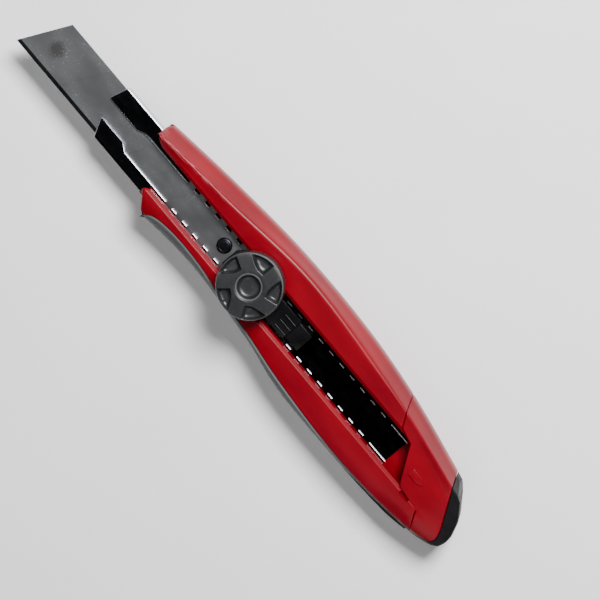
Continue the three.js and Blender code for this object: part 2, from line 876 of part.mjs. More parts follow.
function lockWheel() {
  const radius = wheelDiameter / 2;
  const body = turned([
    [0, wheelBottom],
    [radius - 0.6, wheelBottom],
    [radius, wheelBottom + 0.6],
    [radius, wheelTop - 2],
    [radius - 0.35, wheelTop - 1.1],
    [radius - 1.2, wheelTop - 0.5],
    [wheelDishDiameter / 2 + 0.6, wheelTop],
    [0, wheelTop],
  ]);
  const seatTop = padTop + washerGap + washerThickness + runningGap;
  const washerSeat = cylinder(washerDiameter + 4 * holeGap, 0, seatTop, [0, 0], 40);
  const insertSeat = cylinder(insertDiameter + 2 * holeGap, 0, insertTop + 0.01, [0, 0], 6);
  const ringSpace = cylinder(insertDiameter - 0.4, 0, dishBottom - 0.4);
  const dish = cylinder(wheelDishDiameter, dishBottom - 0.6, wheelTop + 1, [0, 0], 40);
  const pockets = [];
  for (let i = 0; i < wheelPockets; i += 1) {
    pockets.push(wheelPocket(pocketStart + (i * 2 * Math.PI) / wheelPockets));
  }
  return body
    .subtract(washerSeat)
    .subtract(insertSeat)
    .subtract(ringSpace)
    .subtract(dish)
    .subtract(union(pockets));
}

// The dished plug that closes the wheel's centre.
function wheelCap() {
  const edge = wheelDishDiameter / 2 - holeGap;
  return turned(
    [
      [0, dishBottom - 0.5],
      [edge, dishBottom - 0.5],
      [edge, wheelTop - 0.1],
      [edge - 0.5, wheelTop - 0.15],
      [edge - 1.4, dishBottom + 0.7],
      [edge - 2.6, dishBottom + 0.2],
      [0, dishBottom],
    ],
    [0, 0],
    40,
  );
}

// ---------------------------------------------------------------- shell screws

function shellScrew(place) {
  const centre = screwCentre(place);
  const headTop = screwRecess + screwHeadHeight;
  const reach = 0.35 * screwHeadDiameter;
  const cross = box([-reach, reach], [-0.4, 0.4], [-1, screwRecess + 0.9]).add(
    box([-0.4, 0.4], [-reach, reach], [-1, screwRecess + 0.9]),
  );
  return turned(
    [
      [0, screwRecess],
      [0.36 * screwHeadDiameter, screwRecess],
      [0.5 * screwHeadDiameter, screwRecess + 0.5],
      [0.5 * screwHeadDiameter, headTop],
      [screwShankDiameter / 2, headTop],
      [screwShankDiameter / 2, screwLength - 0.8],
      [0.3 * screwShankDiameter, screwRecess + screwLength],
      [0, screwRecess + screwLength],
    ],
    [0, 0],
    24,
  )
    .subtract(cross)
    .translate([centre[0], centre[1], 0]);
}

// ---------------------------------------------------------------- assembly

const group = new THREE.Group();

function place(name, solid, color, roughness, metalness) {
  const material = new THREE.MeshStandardMaterial({ color, roughness, metalness });
  const mesh = new THREE.Mesh(toGeometry(solid), material);
  mesh.name = name;
  group.add(mesh);
}

const red = 0xd8202c;
const black = 0x141417;
const rubberGrey = 0x4b5052;
const wheelGrey = 0x46484a;
const steel = 0xc8cace;

place("front_shell", frontShell(), red, 0.35, 0);
place("back_shell", backShell(), red, 0.35, 0);
place("belly_grip", bellyGrip(), rubberGrey, 0.7, 0);
place("tail_cap", tailCap(), red, 0.35, 0);
place("tail_bumper", tailBumper(), black, 0.6, 0);
place("blade_channel", bladeChannel(), steel, 0.15, 1);
place("blade", blade(), 0x656667, 0.4, 0.9);
place("blade_carrier", bladeCarrier(), black, 0.5, 0);
place("blade_pin", bladePin(), 0x17171a, 0.35, 0.6);
place("slider_saddle", sliderSaddle(), black, 0.5, 0);
place("click_spring", clickSpring(), 0x9a9ca0, 0.3, 1);
place("clamp_stud", clampStud(), 0xa8aaae, 0.35, 1);
place("thrust_washer", thrustWasher(), steel, 0.3, 1);
place("lock_wheel", lockWheel(), wheelGrey, 0.5, 0);
place("wheel_insert", wheelInsert(), 0xc9a24a, 0.35, 1);
place("stop_ring", stopRing(), 0x5a5c60, 0.4, 1);
place("wheel_cap", wheelCap(), wheelGrey, 0.5, 0);
screwPlaces.forEach((spot, i) => {
  place(`shell_screw_${i + 1}`, shellScrew(spot), 0x8c8e92, 0.35, 1);
});

export default group;
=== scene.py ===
"""Looks of a snap-off utility knife with a screw lock wheel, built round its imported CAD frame."""

import math

import bmesh
import bpy
import numpy as np
from bpy.props import FloatProperty, FloatVectorProperty, IntProperty, PointerProperty
from mathutils import Matrix, Vector


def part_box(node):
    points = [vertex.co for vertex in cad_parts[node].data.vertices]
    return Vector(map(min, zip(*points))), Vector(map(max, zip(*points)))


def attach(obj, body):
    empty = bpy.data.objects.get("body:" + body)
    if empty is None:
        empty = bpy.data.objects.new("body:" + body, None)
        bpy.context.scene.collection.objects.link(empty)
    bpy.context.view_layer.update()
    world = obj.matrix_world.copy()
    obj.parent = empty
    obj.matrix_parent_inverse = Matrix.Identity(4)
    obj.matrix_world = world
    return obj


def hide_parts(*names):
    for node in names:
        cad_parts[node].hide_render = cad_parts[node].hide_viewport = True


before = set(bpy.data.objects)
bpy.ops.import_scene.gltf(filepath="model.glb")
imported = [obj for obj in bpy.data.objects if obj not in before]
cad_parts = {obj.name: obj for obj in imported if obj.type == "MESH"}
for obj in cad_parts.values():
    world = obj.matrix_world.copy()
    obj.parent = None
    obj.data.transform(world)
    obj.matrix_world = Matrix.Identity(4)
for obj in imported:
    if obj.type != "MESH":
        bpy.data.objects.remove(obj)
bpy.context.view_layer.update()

bl_info = {
    "name": "Utility knife looks",
    "version": (1, 0, 0),
    "blender": (4, 5, 0),
    "location": "View3D > Sidebar > Knife",
    "description": "Builds the moulded, rubber and steel pieces of a snap-off utility knife",
    "category": "Object",
}

MM = 0.001

# ------------------------------------------------------------------ places, in mm, from the frame


def node_box(name):
    """Lowest and highest corners of a CAD node, in mm."""
    low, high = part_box(name)
    return np.array(low) / MM, np.array(high) / MM


SHELL_LOW, SHELL_HIGH = node_box("front_shell")
BACK_LOW, _ = node_box("back_shell")
BUMPER_LOW, _ = node_box("tail_bumper")
CHANNEL_LOW, CHANNEL_HIGH = node_box("blade_channel")
BLADE_LOW, BLADE_HIGH = node_box("blade")
WHEEL_LOW, WHEEL_HIGH = node_box("lock_wheel")
PIN_LOW, PIN_HIGH = node_box("blade_pin")
SADDLE_LOW, SADDLE_HIGH = node_box("slider_saddle")
PLUG_LOW, PLUG_HIGH = node_box("wheel_cap")

BUTT = BUMPER_LOW[0]
NOSE = SHELL_HIGH[0]
BELLY_NOSE = NOSE - 10.4
PARTING = SHELL_LOW[2]
FACE = BLADE_HIGH[2] + 4.8
CHANNEL_HALF = CHANNEL_HIGH[1]
CHANNEL_REAR = CHANNEL_LOW[0]
CHANNEL_FRONT = CHANNEL_HIGH[0]
LIP_TOP = CHANNEL_HIGH[2]
SHEET = 0.8
SLOT_HALF = 6.15
FACE_START = SLOT_HALF + 1.15
SPINE_SWELL = 8.3
BELLY_SWELL = 8.5
RIDGE_HEIGHT = 0.8
GRIP_THICKNESS = 1.4
GRIP_BOTTOM = 2.4
CAP_WALL = 1.8
SEAM = 0.12
BOX_MARGIN = 0.01  # keeps the handle's skin inside the CAD model's box
RIDGE_FOOT = 3  # least width of the slope from the ridge to the flat of the face
TOOTH_PITCH = 5.41
TOOTH_WIDTH = 2.2

# ------------------------------------------------------------------ curves of the handle


def smooth_curve(points):
    """A function through (x, value) points, by cubic pieces with matched slopes."""
    xs = np.array([p[0] for p in points], float)
    vs = np.array([p[1] for p in points], float)
    slopes = np.empty_like(vs)
    slopes[1:-1] = (vs[2:] - vs[:-2]) / (xs[2:] - xs[:-2])
    slopes[0] = (vs[1] - vs[0]) / (xs[1] - xs[0])
    slopes[-1] = (vs[-1] - vs[-2]) / (xs[-1] - xs[-2])

    def value(x):
        x = np.asarray(x, float)
        i = np.clip(np.searchsorted(xs, x) - 1, 0, len(xs) - 2)
        span = xs[i + 1] - xs[i]
        t = np.clip((x - xs[i]) / span, 0, 1)
        inner = vs[i] * (1 + 2 * t) * (1 - t) ** 2 + vs[i + 1] * t * t * (3 - 2 * t)
        inner = inner + span * (slopes[i] * t * (1 - t) ** 2 + slopes[i + 1] * t * t * (t - 1))
        inner = inner + np.where(x < xs[0], slopes[0] * (x - xs[0]), 0)
        return inner + np.where(x > xs[-1], slopes[-1] * (x - xs[-1]), 0)

    return value


spine_outline = smooth_curve([
    (BUTT - 1.4, SPINE_SWELL - 11.9),
    (BUTT + 16.6, SPINE_SWELL - 8),
    (BUTT + 45, SPINE_SWELL - 2.9),
    (BUTT + 72, SPINE_SWELL - 0.3),
    (-3, SPINE_SWELL - 0.1),
    (30, SPINE_SWELL - 2.7),
    (60, SPINE_SWELL - 6.3),
])
belly_outline = smooth_curve([
    (BUTT - 1.4, BELLY_SWELL - 6.2),
    (BUTT + 11.6, BELLY_SWELL - 3.3),
    (BUTT + 39, BELLY_SWELL - 0.4),
    (-40, BELLY_SWELL),
    (-28, BELLY_SWELL - 0.8),
    (-16, BELLY_SWELL - 2.9),
    (3, BELLY_SWELL - 4.7),
    (17, BELLY_SWELL - 5.4),
    (30, BELLY_SWELL - 4.8),
    (42, BELLY_SWELL - 3.3),
    (50, BELLY_SWELL - 2.2),
])
ridge_inset = smooth_curve([(BUTT, 2.2), (-49, 3.2), (-10, 2.2), (23, 4), (60, 3.4)])
grip_edge = smooth_curve([
    (BUTT + 11.4, 4),
    (BUTT + 22, 5.8),
    (-60, 6.5),
    (-30, 4.8),
    (-7, 2.1),
    (3, 1.7),
    (17, -0.2),
    (30, -0.3),
    (38.8, 1.4),
    (42, 4.5),
])


def flowing(points, times=2, closed=False):
    """Cuts a line's corners again and again, which leaves a smooth curve inside it."""
    line = np.array(points, float)
    for _ in range(times):
        start = line if closed else line[:-1]
        end = np.roll(line, -1, axis=0) if closed else line[1:]
        cut = np.empty((2 * len(start), 2))
        cut[0::2] = 0.75 * start + 0.25 * end
        cut[1::2] = 0.25 * start + 0.75 * end
        line = cut if closed else np.vstack([line[:1], cut[1:-1], line[-1:]])
    return line


def toward(a, b, distance):
    """The point that lies a distance from a on the way to b."""
    a, b = np.array(a, float), np.array(b, float)
    return tuple(a + (b - a) * distance / max(np.linalg.norm(b - a), 1e-6))


class Section:
    """The handle's cross-section at one place along it, taken in by a wall thickness."""

    def __init__(self, x, inset=0.0):
        self.spine = CHANNEL_HALF + float(spine_outline(x)) - inset - BOX_MARGIN
        self.belly = CHANNEL_HALF + float(belly_outline(x)) - inset - BOX_MARGIN
        self.ridge = self.spine - float(ridge_inset(x)) + 0.4 * inset
        tuck = min(max((BUTT + 16 - x) / 16, 0), 1.1) ** 2
        self.top = FACE - inset - 2.6 * tuck
        self.crest = self.top + RIDGE_HEIGHT
        self.low = inset + 2.2 * tuck
        self.height = self.crest - self.low
        self.start = FACE_START - 0.5 * inset
        self.flat = min(self.start, self.ridge - RIDGE_FOOT)
        self.soft = float(np.interp(x, [-70, -45, 5, 35, 58], [1.2, 3.2, 3.2, 1.6, 1.3]))

    def spine_wall(self):
        """From the parting up the spine side, over the ridge and down to the flat of the face."""
        lean = self.spine - self.ridge
        ridge = (-self.ridge, self.crest)
        wall = (-self.ridge - 0.55 * lean, self.crest - 0.28 * self.height)
        face = (-self.flat, self.top)
        soft = min(self.soft, 0.45 * (self.ridge - self.flat))
        return [
            (-self.spine, PARTING),
            (-self.spine, self.low + 0.48 * self.height),
            (-self.ridge - 0.9 * lean, self.crest - 0.42 * self.height),
            wall,
            toward(ridge, wall, self.soft),
            ridge,
            toward(ridge, face, soft),
        ]

    def spine_back(self):
        """From the parting down the spine side and round to the flat back."""
        return [
            (-self.spine, PARTING),
            (-self.spine, self.low + 0.32 * self.height),
            (-self.spine + 0.25, self.low + 0.2 * self.height),
            (-self.spine + 1, self.low + 0.065 * self.height),
            (-self.spine + 2.6, self.low),
            (-self.spine + 4.5, self.low),
        ]

    def belly_back(self):
        """From the flat back round and up the belly side to the parting."""
        return [
            (self.belly - 4.6, self.low),
            (self.belly - 2.8, self.low),
            (self.belly - 1.1, self.low + 0.06 * self.height),
            (self.belly - 0.25, self.low + 0.18 * self.height),
            (self.belly, self.low + 0.32 * self.height),
            (self.belly, PARTING),
        ]

    def belly_face(self):
        """From the flat of the face out over the belly side and down to the parting."""
        shoulder = (self.belly - 1.8, self.low + 0.865 * self.height)
        return [
            ((self.start + self.belly - 1.8) / 2, self.top - 0.3),
            shoulder,
            (self.belly - 0.5, self.low + 0.74 * self.height),
            (self.belly, self.low + 0.58 * self.height),
            (self.belly, PARTING),
        ]


def slot_edge(side, top):
    """The face's edge at the slot: the flat, the chamfer and the wall, from the face down."""
    flat = (side * FACE_START, top)
    low = (side * SLOT_HALF, top - 0.9)
    return [
        (side * (FACE_START + 0.35), top + 0.02),
        flat,
        toward(flat, low, 0.3),
        toward(low, flat, 0.3),
        low,
        (side * SLOT_HALF, top - 1.3),
        (side * (SLOT_HALF - 0.05), LIP_TOP + 0.1),
    ]


def plan_curve(points):
    """x as a function of y through plan points given as (x, y), in mm."""
    ordered = sorted(points, key=lambda p: p[1])
    xs = [p[0] for p in ordered]
    ys = [p[1] for p in ordered]
    return lambda y: np.interp(y, ys, xs)


def arc(centre, radius, start, end, steps=8):
    """Plan points on a round corner; angles in degrees."""
    turn = np.radians(np.linspace(start, end, steps))
    return [(centre[0] + radius * math.cos(a), centre[1] + radius * math.sin(a)) for a in turn]


spine_nose = plan_curve(
    [(NOSE, -40), (NOSE, -SLOT_HALF - 4)] + arc((NOSE - 4, -SLOT_HALF - 4), 4, 0, 90)
)
belly_nose = plan_curve(
    [(BELLY_NOSE - 1.2, SLOT_HALF - 0.2)]
    + arc((BELLY_NOSE - 1.5, SLOT_HALF + 1.5), 1.5, -90, 35)
    + [
        (BELLY_NOSE - 1.3, SLOT_HALF + 3.2),
        (BELLY_NOSE - 4, SLOT_HALF + 6.6),
        (BELLY_NOSE - 6.4, SLOT_HALF + 9.4),
        (BELLY_NOSE - 8, 40),
    ]
)
back_front = plan_curve([
    (NOSE, -40),
    (NOSE, -CHANNEL_HALF + 0.6),
    (NOSE - 0.7, -SLOT_HALF - 1.8),
    (NOSE - 2, -SLOT_HALF - 0.8),
    (NOSE - 4, -SLOT_HALF),
    (BELLY_NOSE - 0.8, SLOT_HALF),
    (BELLY_NOSE, SLOT_HALF + 1.3),
    (BELLY_NOSE - 1.7, SLOT_HALF + 3),
    (BELLY_NOSE - 6.4, SLOT_HALF + 9.4),
    (BELLY_NOSE - 8, 40),
])
cap_parting = plan_curve([
    (CHANNEL_REAR + 27, -40),
    (CHANNEL_REAR + 5.1, -FACE_START + 0.6),
    (CHANNEL_REAR - 0.2, -SLOT_HALF),
    (CHANNEL_REAR - 8.7, SLOT_HALF),
    (BUTT + 15.3, SLOT_HALF + 1.1),
    (BUTT + 14.7, SLOT_HALF + 2.5),
    (BUTT + 11.6, CHANNEL_HALF + 3.1),
    (BUTT + 9.2, 40),
])
bumper_parting = plan_curve([
    (BUTT + 17.1, -CHANNEL_HALF - 2.9),
    (BUTT + 13, -6.6),
    (BUTT + 8.3, 0.2),
    (BUTT + 5, 5),
    (BUTT + 3.3, CHANNEL_HALF - 1.7),
    (BUTT + 3.3, CHANNEL_HALF + 0.4),
    (BUTT + 4.3, CHANNEL_HALF + 1.7),
    (BUTT + 7.6, CHANNEL_HALF + 3.1),
    (BUTT + 11.6, CHANNEL_HALF + 4.5),
])
butt_end = plan_curve([
    (BUTT + 15.2, -CHANNEL_HALF - 1.7),
    (BUTT + 8.3, -6),
    (BUTT + 2.9, -0.5),
    (BUTT + 0.3, CHANNEL_HALF - 5.1),
    (BUTT + 0.02, CHANNEL_HALF - 2.4),
    (BUTT + 0.5, CHANNEL_HALF + 0.4),
    (BUTT + 2.2, CHANNEL_HALF + 2.1),
    (BUTT + 5, CHANNEL_HALF + 3.2),
    (BUTT + 6.5, CHANNEL_HALF + 3.9),
])

# ------------------------------------------------------------------ mesh helpers

SETTLE_ROUNDS = 30  # rounds in which a band's rows settle between its two ends
SETTLE_SHARE = 0.4  # how much of the way that is left each round goes


def new_object(name, mesh):
    obj = bpy.data.objects.new(name, mesh)
    bpy.context.scene.collection.objects.link(obj)
    return obj


def object_from(name, points_mm, faces):
    mesh = bpy.data.meshes.new(name)
    mesh.from_pydata([tuple(p) for p in np.asarray(points_mm, float) * MM], [], faces)
    return new_object(name, mesh)


def tidy_mesh(obj, merge=0.002, sharp=50):
    """Merges doubles, drops empty faces, turns faces outwards and marks the sharp edges."""
    work = bmesh.new()
    work.from_mesh(obj.data)
    bmesh.ops.remove_doubles(work, verts=work.verts, dist=merge * MM)
    bmesh.ops.dissolve_degenerate(work, edges=work.edges, dist=merge * MM)
    bmesh.ops.recalc_face_normals(work, faces=work.faces)
    limit = math.radians(sharp)
    for face in work.faces:
        face.smooth = True
    for edge in work.edges:
        edge.smooth = len(edge.link_faces) == 2 and edge.calc_face_angle(0) < limit
    work.to_mesh(obj.data)
    work.free()
    return obj


def finish_modifiers(obj):
    """Turns the modifiers' result into the object's own plain mesh."""
    seen = bpy.context.evaluated_depsgraph_get()
    bpy.context.view_layer.update()
    mesh = bpy.data.meshes.new_from_object(obj.evaluated_get(seen))
    obj.modifiers.clear()
    obj.data = mesh
    return obj


def bevel(obj, width, segments=3, angle=50):
    mod = obj.modifiers.new("edges", "BEVEL")
    mod.width = width * MM
    mod.segments = segments
    mod.limit_method = "ANGLE"
    mod.angle_limit = math.radians(angle)
    mod.use_clamp_overlap = True
    finish_modifiers(obj)
    return obj


def join(name, parts):
    work = bmesh.new()
    for part in parts:
        work.from_mesh(part.data)
    mesh = bpy.data.meshes.new(name)
    work.to_mesh(mesh)
    work.free()
    for part in parts:
        bpy.data.objects.remove(part)
    return new_object(name, mesh)


def sections_between(chain, low, high, step=0.5):
    """A table of a chain's points at places along X: (places, points[place, point, yz])."""
    places = np.arange(low - 2, high + 2 + step, step)
    return places, np.array([chain(float(x)) for x in places])


def sample(places, table, x):
    """Points of a table at x, where x holds one place for each point of the chain."""
    t = np.clip((x - places[0]) / (places[1] - places[0]), 0, len(places) - 1.001)
    i = t.astype(int)
    part = (t - i)[..., None]
    j = np.arange(table.shape[1])[None, :].repeat(x.shape[0], 0)
    return table[i, j] * (1 - part) + table[i + 1, j] * part


def rows_along(rear, front, soft_rear, soft_front, spacing):
    """Functions from a body's two ends to the X of each row, closer together over soft ends."""
    turn = np.linspace(0, math.pi / 2, 6)[:-1]
    middle = np.linspace(0, 1, max(int((front - rear) / spacing), 2))
    rows = [(lambda a, b, d=soft_rear * (1 - math.cos(t)): a + d) for t in turn if soft_rear]
    rows += [(lambda a, b, u=u: (a + soft_rear) * (1 - u) + (b - soft_front) * u) for u in middle]
    rows += [
        (lambda a, b, d=soft_front * (1 - math.cos(t)): b - d) for t in turn[::-1] if soft_front
    ]
    return rows


def band(name, outer, inner, rear, front, spacing=1.0, soft=(0.4, 0.4), closed=False):
    """A closed body between two chains of (y, z) points, run from rear(y) to front(y) along X.

    Its outer surface rounds over by soft (rear, front) before it reaches the two ends."""
    reach = np.linspace(-20, 20, 81)
    low = float(min(rear(reach)))
    high = float(max(front(reach)))
    places, outer_table = sections_between(outer, low, high)
    _, inner_table = sections_between(inner, low, high)
    count = outer_table.shape[1]
    rows = rows_along(low, high, *soft, spacing)
    x = np.full((len(rows), count), (low + high) / 2)
    for _ in range(SETTLE_ROUNDS):
        y = sample(places, outer_table, x)[..., 0]
        starts = rear(y)
        ends = np.maximum(front(y), starts + sum(soft) + 0.1)
        wanted = np.array([row(starts[i], ends[i]) for i, row in enumerate(rows)])
        x = x + SETTLE_SHARE * (wanted - x)
    shell = sample(places, outer_table, x)
    core = sample(places, inner_table, x)
    along = np.roll(shell, -1, axis=1) - np.roll(shell, 1, axis=1)
    if not closed:
        along[:, 0] = shell[:, 1] - shell[:, 0]
        along[:, -1] = shell[:, -1] - shell[:, -2]
    inward = np.dstack([-along[..., 1], along[..., 0]])
    inward /= np.maximum(np.linalg.norm(inward, axis=2, keepdims=True), 1e-6)
    inward *= np.sign((inward * (core - shell)).sum(axis=2).sum()) or 1.0
    drop = np.zeros(x.shape)
    for radius, gap in ((soft[0], x - starts), (soft[1], ends - x)):
        if radius:
            left = np.clip(radius - gap, 0, radius)
            drop = np.maximum(drop, radius - np.sqrt(radius * radius - left * left))
    depth = np.linalg.norm(core - shell, axis=2)
    shell = shell + inward * np.minimum(drop, 0.8 * depth)[..., None]
    points = np.concatenate([
        np.dstack([x, shell]).reshape(-1, 3),
        np.dstack([x, core]).reshape(-1, 3),
    ])
    half = len(rows) * count
    steps = count if closed else count - 1
    faces = []
    for r in range(len(rows) - 1):
        for c in range(steps):
            a, b = r * count + c, r * count + (c + 1) % count
            faces.append((a, b, b + count, a + count))
            faces.append((half + a, half + a + count, half + b + count, half + b))
        if not closed:
            for c in (0, count - 1):
                a = r * count + c
                faces.append((a, a + count, half + a + count, half + a))
    for r in (0, len(rows) - 1):
        for c in range(steps):
            a, b = r * count + c, r * count + (c + 1) % count
            faces.append((a, b, half + b, half + a))
    return tidy_mesh(object_from(name, points, faces))


def solid_between(name, outline, low, high, soft=0.0):
    """A plate with a plan outline in mm, from a low to a high Z, with its edges softened."""
    count = len(outline)
    points = [(x, y, low) for x, y in outline] + [(x, y, high) for x, y in outline]
    faces = [tuple(range(count))[::-1], tuple(range(count, 2 * count))]
    faces += [(i, (i + 1) % count, count + (i + 1) % count, count + i) for i in range(count)]
    plate = object_from(name, points, faces)
    if soft:
        bevel(plate, soft)
    return tidy_mesh(plate)


def turned(name, profile, centre, steps=96, closed=False):
    """A lathe body about a vertical axis, from (radius, z) points in mm."""
    rings = len(profile)
    points = []
    for radius, z in profile:
        for i in range(steps):
            a = 2 * math.pi * i / steps
            points.append((centre[0] + radius * math.cos(a), centre[1] + radius * math.sin(a), z))
    faces = []
    for r in range(rings if closed else rings - 1):
        for i in range(steps):
            a, b = r * steps + i, r * steps + (i + 1) % steps
            c = ((r + 1) % rings) * steps
            faces.append((a, b, c + (i + 1) % steps, c + i))
    return tidy_mesh(object_from(name, points, faces))


def lathe_curve(points, times=2):
    """A lathe profile with its corners softened and its two ends kept."""
    return [tuple(p) for p in flowing(points, times)]


def carve(obj, cutter):
    """Takes a cutter body away from a piece, and removes the cutter."""
    mod = obj.modifiers.new("carve", "BOOLEAN")
    mod.operation = "DIFFERENCE"
    mod.solver = "EXACT"
    mod.object = cutter
    finish_modifiers(obj)
    bpy.data.objects.remove(cutter)
    return tidy_mesh(obj)


def paint(obj, name, worth):
    """Stores a number at each point of a piece; worth is given the points' (x, y, z) in mm."""
    count = len(obj.data.vertices)
    places = np.empty(count * 3, np.float32)
    obj.data.vertices.foreach_get("co", places)
    values = worth(places.reshape(-1, 3) / MM).astype(np.float32)
    layer = obj.data.attributes.new(name, "FLOAT", "POINT")
    layer.data.foreach_set("value", values)


def box_middle(name):
    low, high = node_box(name)
    return (low + high) / 2


# ------------------------------------------------------------------ geometry nodes


def start_tree(name, sizes):
    """An empty geometry tree with a mesh input, named number inputs and a material input."""
    tree = bpy.data.node_groups.new(name, "GeometryNodeTree")
    face = tree.interface
    face.new_socket("Geometry", in_out="INPUT", socket_type="NodeSocketGeometry")
    for label, kind in sizes.items():
        face.new_socket(label, in_out="INPUT", socket_type="NodeSocket" + kind)
    face.new_socket("Material", in_out="INPUT", socket_type="NodeSocketMaterial")
    face.new_socket("Geometry", in_out="OUTPUT", socket_type="NodeSocketGeometry")
    return tree, tree.nodes.new("NodeGroupInput"), tree.nodes.new("NodeGroupOutput")


def end_tree(tree, given, result, geometry):
    """Closes a tree the same way each time: instances made real, then the finish."""
    real = add_node(tree, "GeometryNodeRealizeInstances", {0: geometry})
    painted = add_node(
        tree,
        "GeometryNodeSetMaterial",
        {"Geometry": real.outputs[0], "Material": given.outputs["Material"]},
    )
    tree.links.new(painted.outputs[0], result.inputs[0])


def grow(obj, tree, values):
    """Runs a geometry tree on a piece with its inputs, and keeps the plain mesh."""
    mod = obj.modifiers.new("pattern", "NODES")
    mod.node_group = tree
    for item in tree.interface.items_tree:
        if item.in_out == "INPUT" and item.name in values:
            mod[item.identifier] = values[item.name]
    return finish_modifiers(obj)


def notch_tree():
    """Cuts a row of equal notches through both lips of the channel."""
    tree, given, result = start_tree(
        "Lip notches",
        {"Count": "Int", "First": "Vector", "Step": "Vector", "Cutter": "Vector"},
    )
    row = add_node(
        tree,
        "GeometryNodeMeshLine",
        {
            "Count": given.outputs["Count"],
            "Start Location": given.outputs["First"],
            "Offset": given.outputs["Step"],
        },
        mode="OFFSET",
    )
    block = add_node(tree, "GeometryNodeMeshCube", {"Size": given.outputs["Cutter"]})
    cutters = add_node(
        tree,
        "GeometryNodeInstanceOnPoints",
        {"Points": row.outputs[0], "Instance": block.outputs[0]},
    )
    made = add_node(tree, "GeometryNodeRealizeInstances", {0: cutters.outputs[0]})
    cut = add_node(
        tree,
        "GeometryNodeMeshBoolean",
        {"Mesh 1": given.outputs["Geometry"], "Mesh 2": made.outputs[0]},
        operation="DIFFERENCE",
        solver="EXACT",
    )
    end_tree(tree, given, result, cut.outputs[0])
    return tree


def rib_tree():
    """Lays a row of rounded thumb ribs side by side on the piece that comes in."""
    tree, given, result = start_tree(
        "Thumb ribs",
        {
            "Count": "Int",
            "First": "Vector",
            "Step": "Vector",
            "Length": "Vector",
            "Radius": "Float",
        },
    )
    row = add_node(
        tree,
        "GeometryNodeMeshLine",
        {
            "Count": given.outputs["Count"],
            "Start Location": given.outputs["First"],
            "Offset": given.outputs["Step"],
        },
        mode="OFFSET",
    )
    spine = add_node(tree, "GeometryNodeCurvePrimitiveLine", {"End": given.outputs["Length"]})
    ring = add_node(
        tree,
        "GeometryNodeCurvePrimitiveCircle",
        {"Radius": given.outputs["Radius"]},
        Resolution=16,
    )
    rib = add_node(
        tree,
        "GeometryNodeCurveToMesh",
        {"Curve": spine.outputs[0], "Profile Curve": ring.outputs[0]},
        Fill_Caps=True,
    )
    ribs = add_node(
        tree,
        "GeometryNodeInstanceOnPoints",
        {"Points": row.outputs[0], "Instance": rib.outputs[0]},
    )
    both = add_node(tree, "GeometryNodeJoinGeometry", {0: given.outputs["Geometry"]})
    tree.links.new(ribs.outputs[0], both.inputs[0])
    end_tree(tree, given, result, both.outputs[0])
    return tree


def screw_tree():
    """Sets the screw that comes in at two places on the spine side and two on the belly side."""
    tree, given, result = start_tree(
        "Shell screws",
        {
            "Spine first": "Vector",
            "Spine step": "Vector",
            "Belly first": "Vector",
            "Belly step": "Vector",
        },
    )
    places = add_node(tree, "GeometryNodeJoinGeometry")
    for side in ("Spine", "Belly"):
        pair = add_node(
            tree,
            "GeometryNodeMeshLine",
            {
                "Start Location": given.outputs[side + " first"],
                "Offset": given.outputs[side + " step"],
            },
            mode="OFFSET",
            Count=2,
        )
        tree.links.new(pair.outputs[0], places.inputs[0])
    screws = add_node(
        tree,
        "GeometryNodeInstanceOnPoints",
        {"Points": places.outputs[0], "Instance": given.outputs["Geometry"]},
    )
    end_tree(tree, given, result, screws.outputs[0])
    return tree


# ------------------------------------------------------------------ materials


def linear(code):
    """An sRGB hex colour as linear red, green, blue and alpha."""
    values = [int(code[i:i + 2], 16) / 255 for i in (1, 3, 5)]
    values = [v / 12.92 if v <= 0.04045 else ((v + 0.055) / 1.055) ** 2.4 for v in values]
    return (*values, 1.0)


def add_node(tree, kind, links=None, **settings):
    """Adds a node. links feed its sockets; settings are its properties or its sockets' values."""
    node = tree.nodes.new(kind)
    for key, value in settings.items():
        if hasattr(node, key):
            setattr(node, key, value)
    for key, value in settings.items():
        if not hasattr(node, key):
            node.inputs[key.replace("_", " ")].default_value = value
    for key, source in (links or {}).items():
        tree.links.new(source, node.inputs[key])
    return node


def start_material(name, **settings):
    """A material with a Principled shader whose plain values are set on its own sockets."""
    mat = bpy.data.materials.new(name)
    mat.use_nodes = True
    tree = mat.node_tree
    tree.nodes.clear()
    shader = add_node(tree, "ShaderNodeBsdfPrincipled", **settings)
    add_node(tree, "ShaderNodeOutputMaterial", {"Surface": shader.outputs[0]})
    place = add_node(tree, "ShaderNodeTexCoord").outputs["Object"]
    return mat, tree, shader, place


def grain(tree, place, size, stretch=(1, 1, 1), turn=0.0, detail=3.0, **settings):
    """Noise whose blotches are about size mm across, longer where stretch is over 1."""
    laid = add_node(
        tree,
        "ShaderNodeMapping",
        {"Vector": place},
        Scale=tuple(1 / s for s in stretch),
        Rotation=(0, 0, turn),
    )
    return add_node(
        tree,
        "ShaderNodeTexNoise",
        {"Vector": laid.outputs[0]},
        Scale=1 / (size * MM),
        Detail=detail,
        **settings,
    ).outputs[0]


def ramp(tree, source, low, high, start, end):
    """Maps a number between low and high to a range from start to end."""
    return add_node(
        tree,
        "ShaderNodeMapRange",
        {"Value": source},
        From_Min=low,
        From_Max=high,
        To_Min=start,
        To_Max=end,
    ).outputs[0]


def blend_colours(tree, factor, first, second):
    """Mixes two colours, each an sRGB hex code or a socket."""
    mix = add_node(tree, "ShaderNodeMix", {0: factor}, data_type="RGBA")
    for socket, colour in ((mix.inputs[6], first), (mix.inputs[7], second)):
        if isinstance(colour, str):
            socket.default_value = linear(colour)
        else:
            tree.links.new(colour, socket)
    return mix.outputs[2]


def bump(tree, shader, height, depth, share=1.0):
    """Raises the surface by a pattern; depth is in mm."""
    raised = add_node(
        tree, "ShaderNodeBump", {"Height": height}, Strength=share, Distance=depth * MM
    )
    tree.links.new(raised.outputs[0], shader.inputs["Normal"])


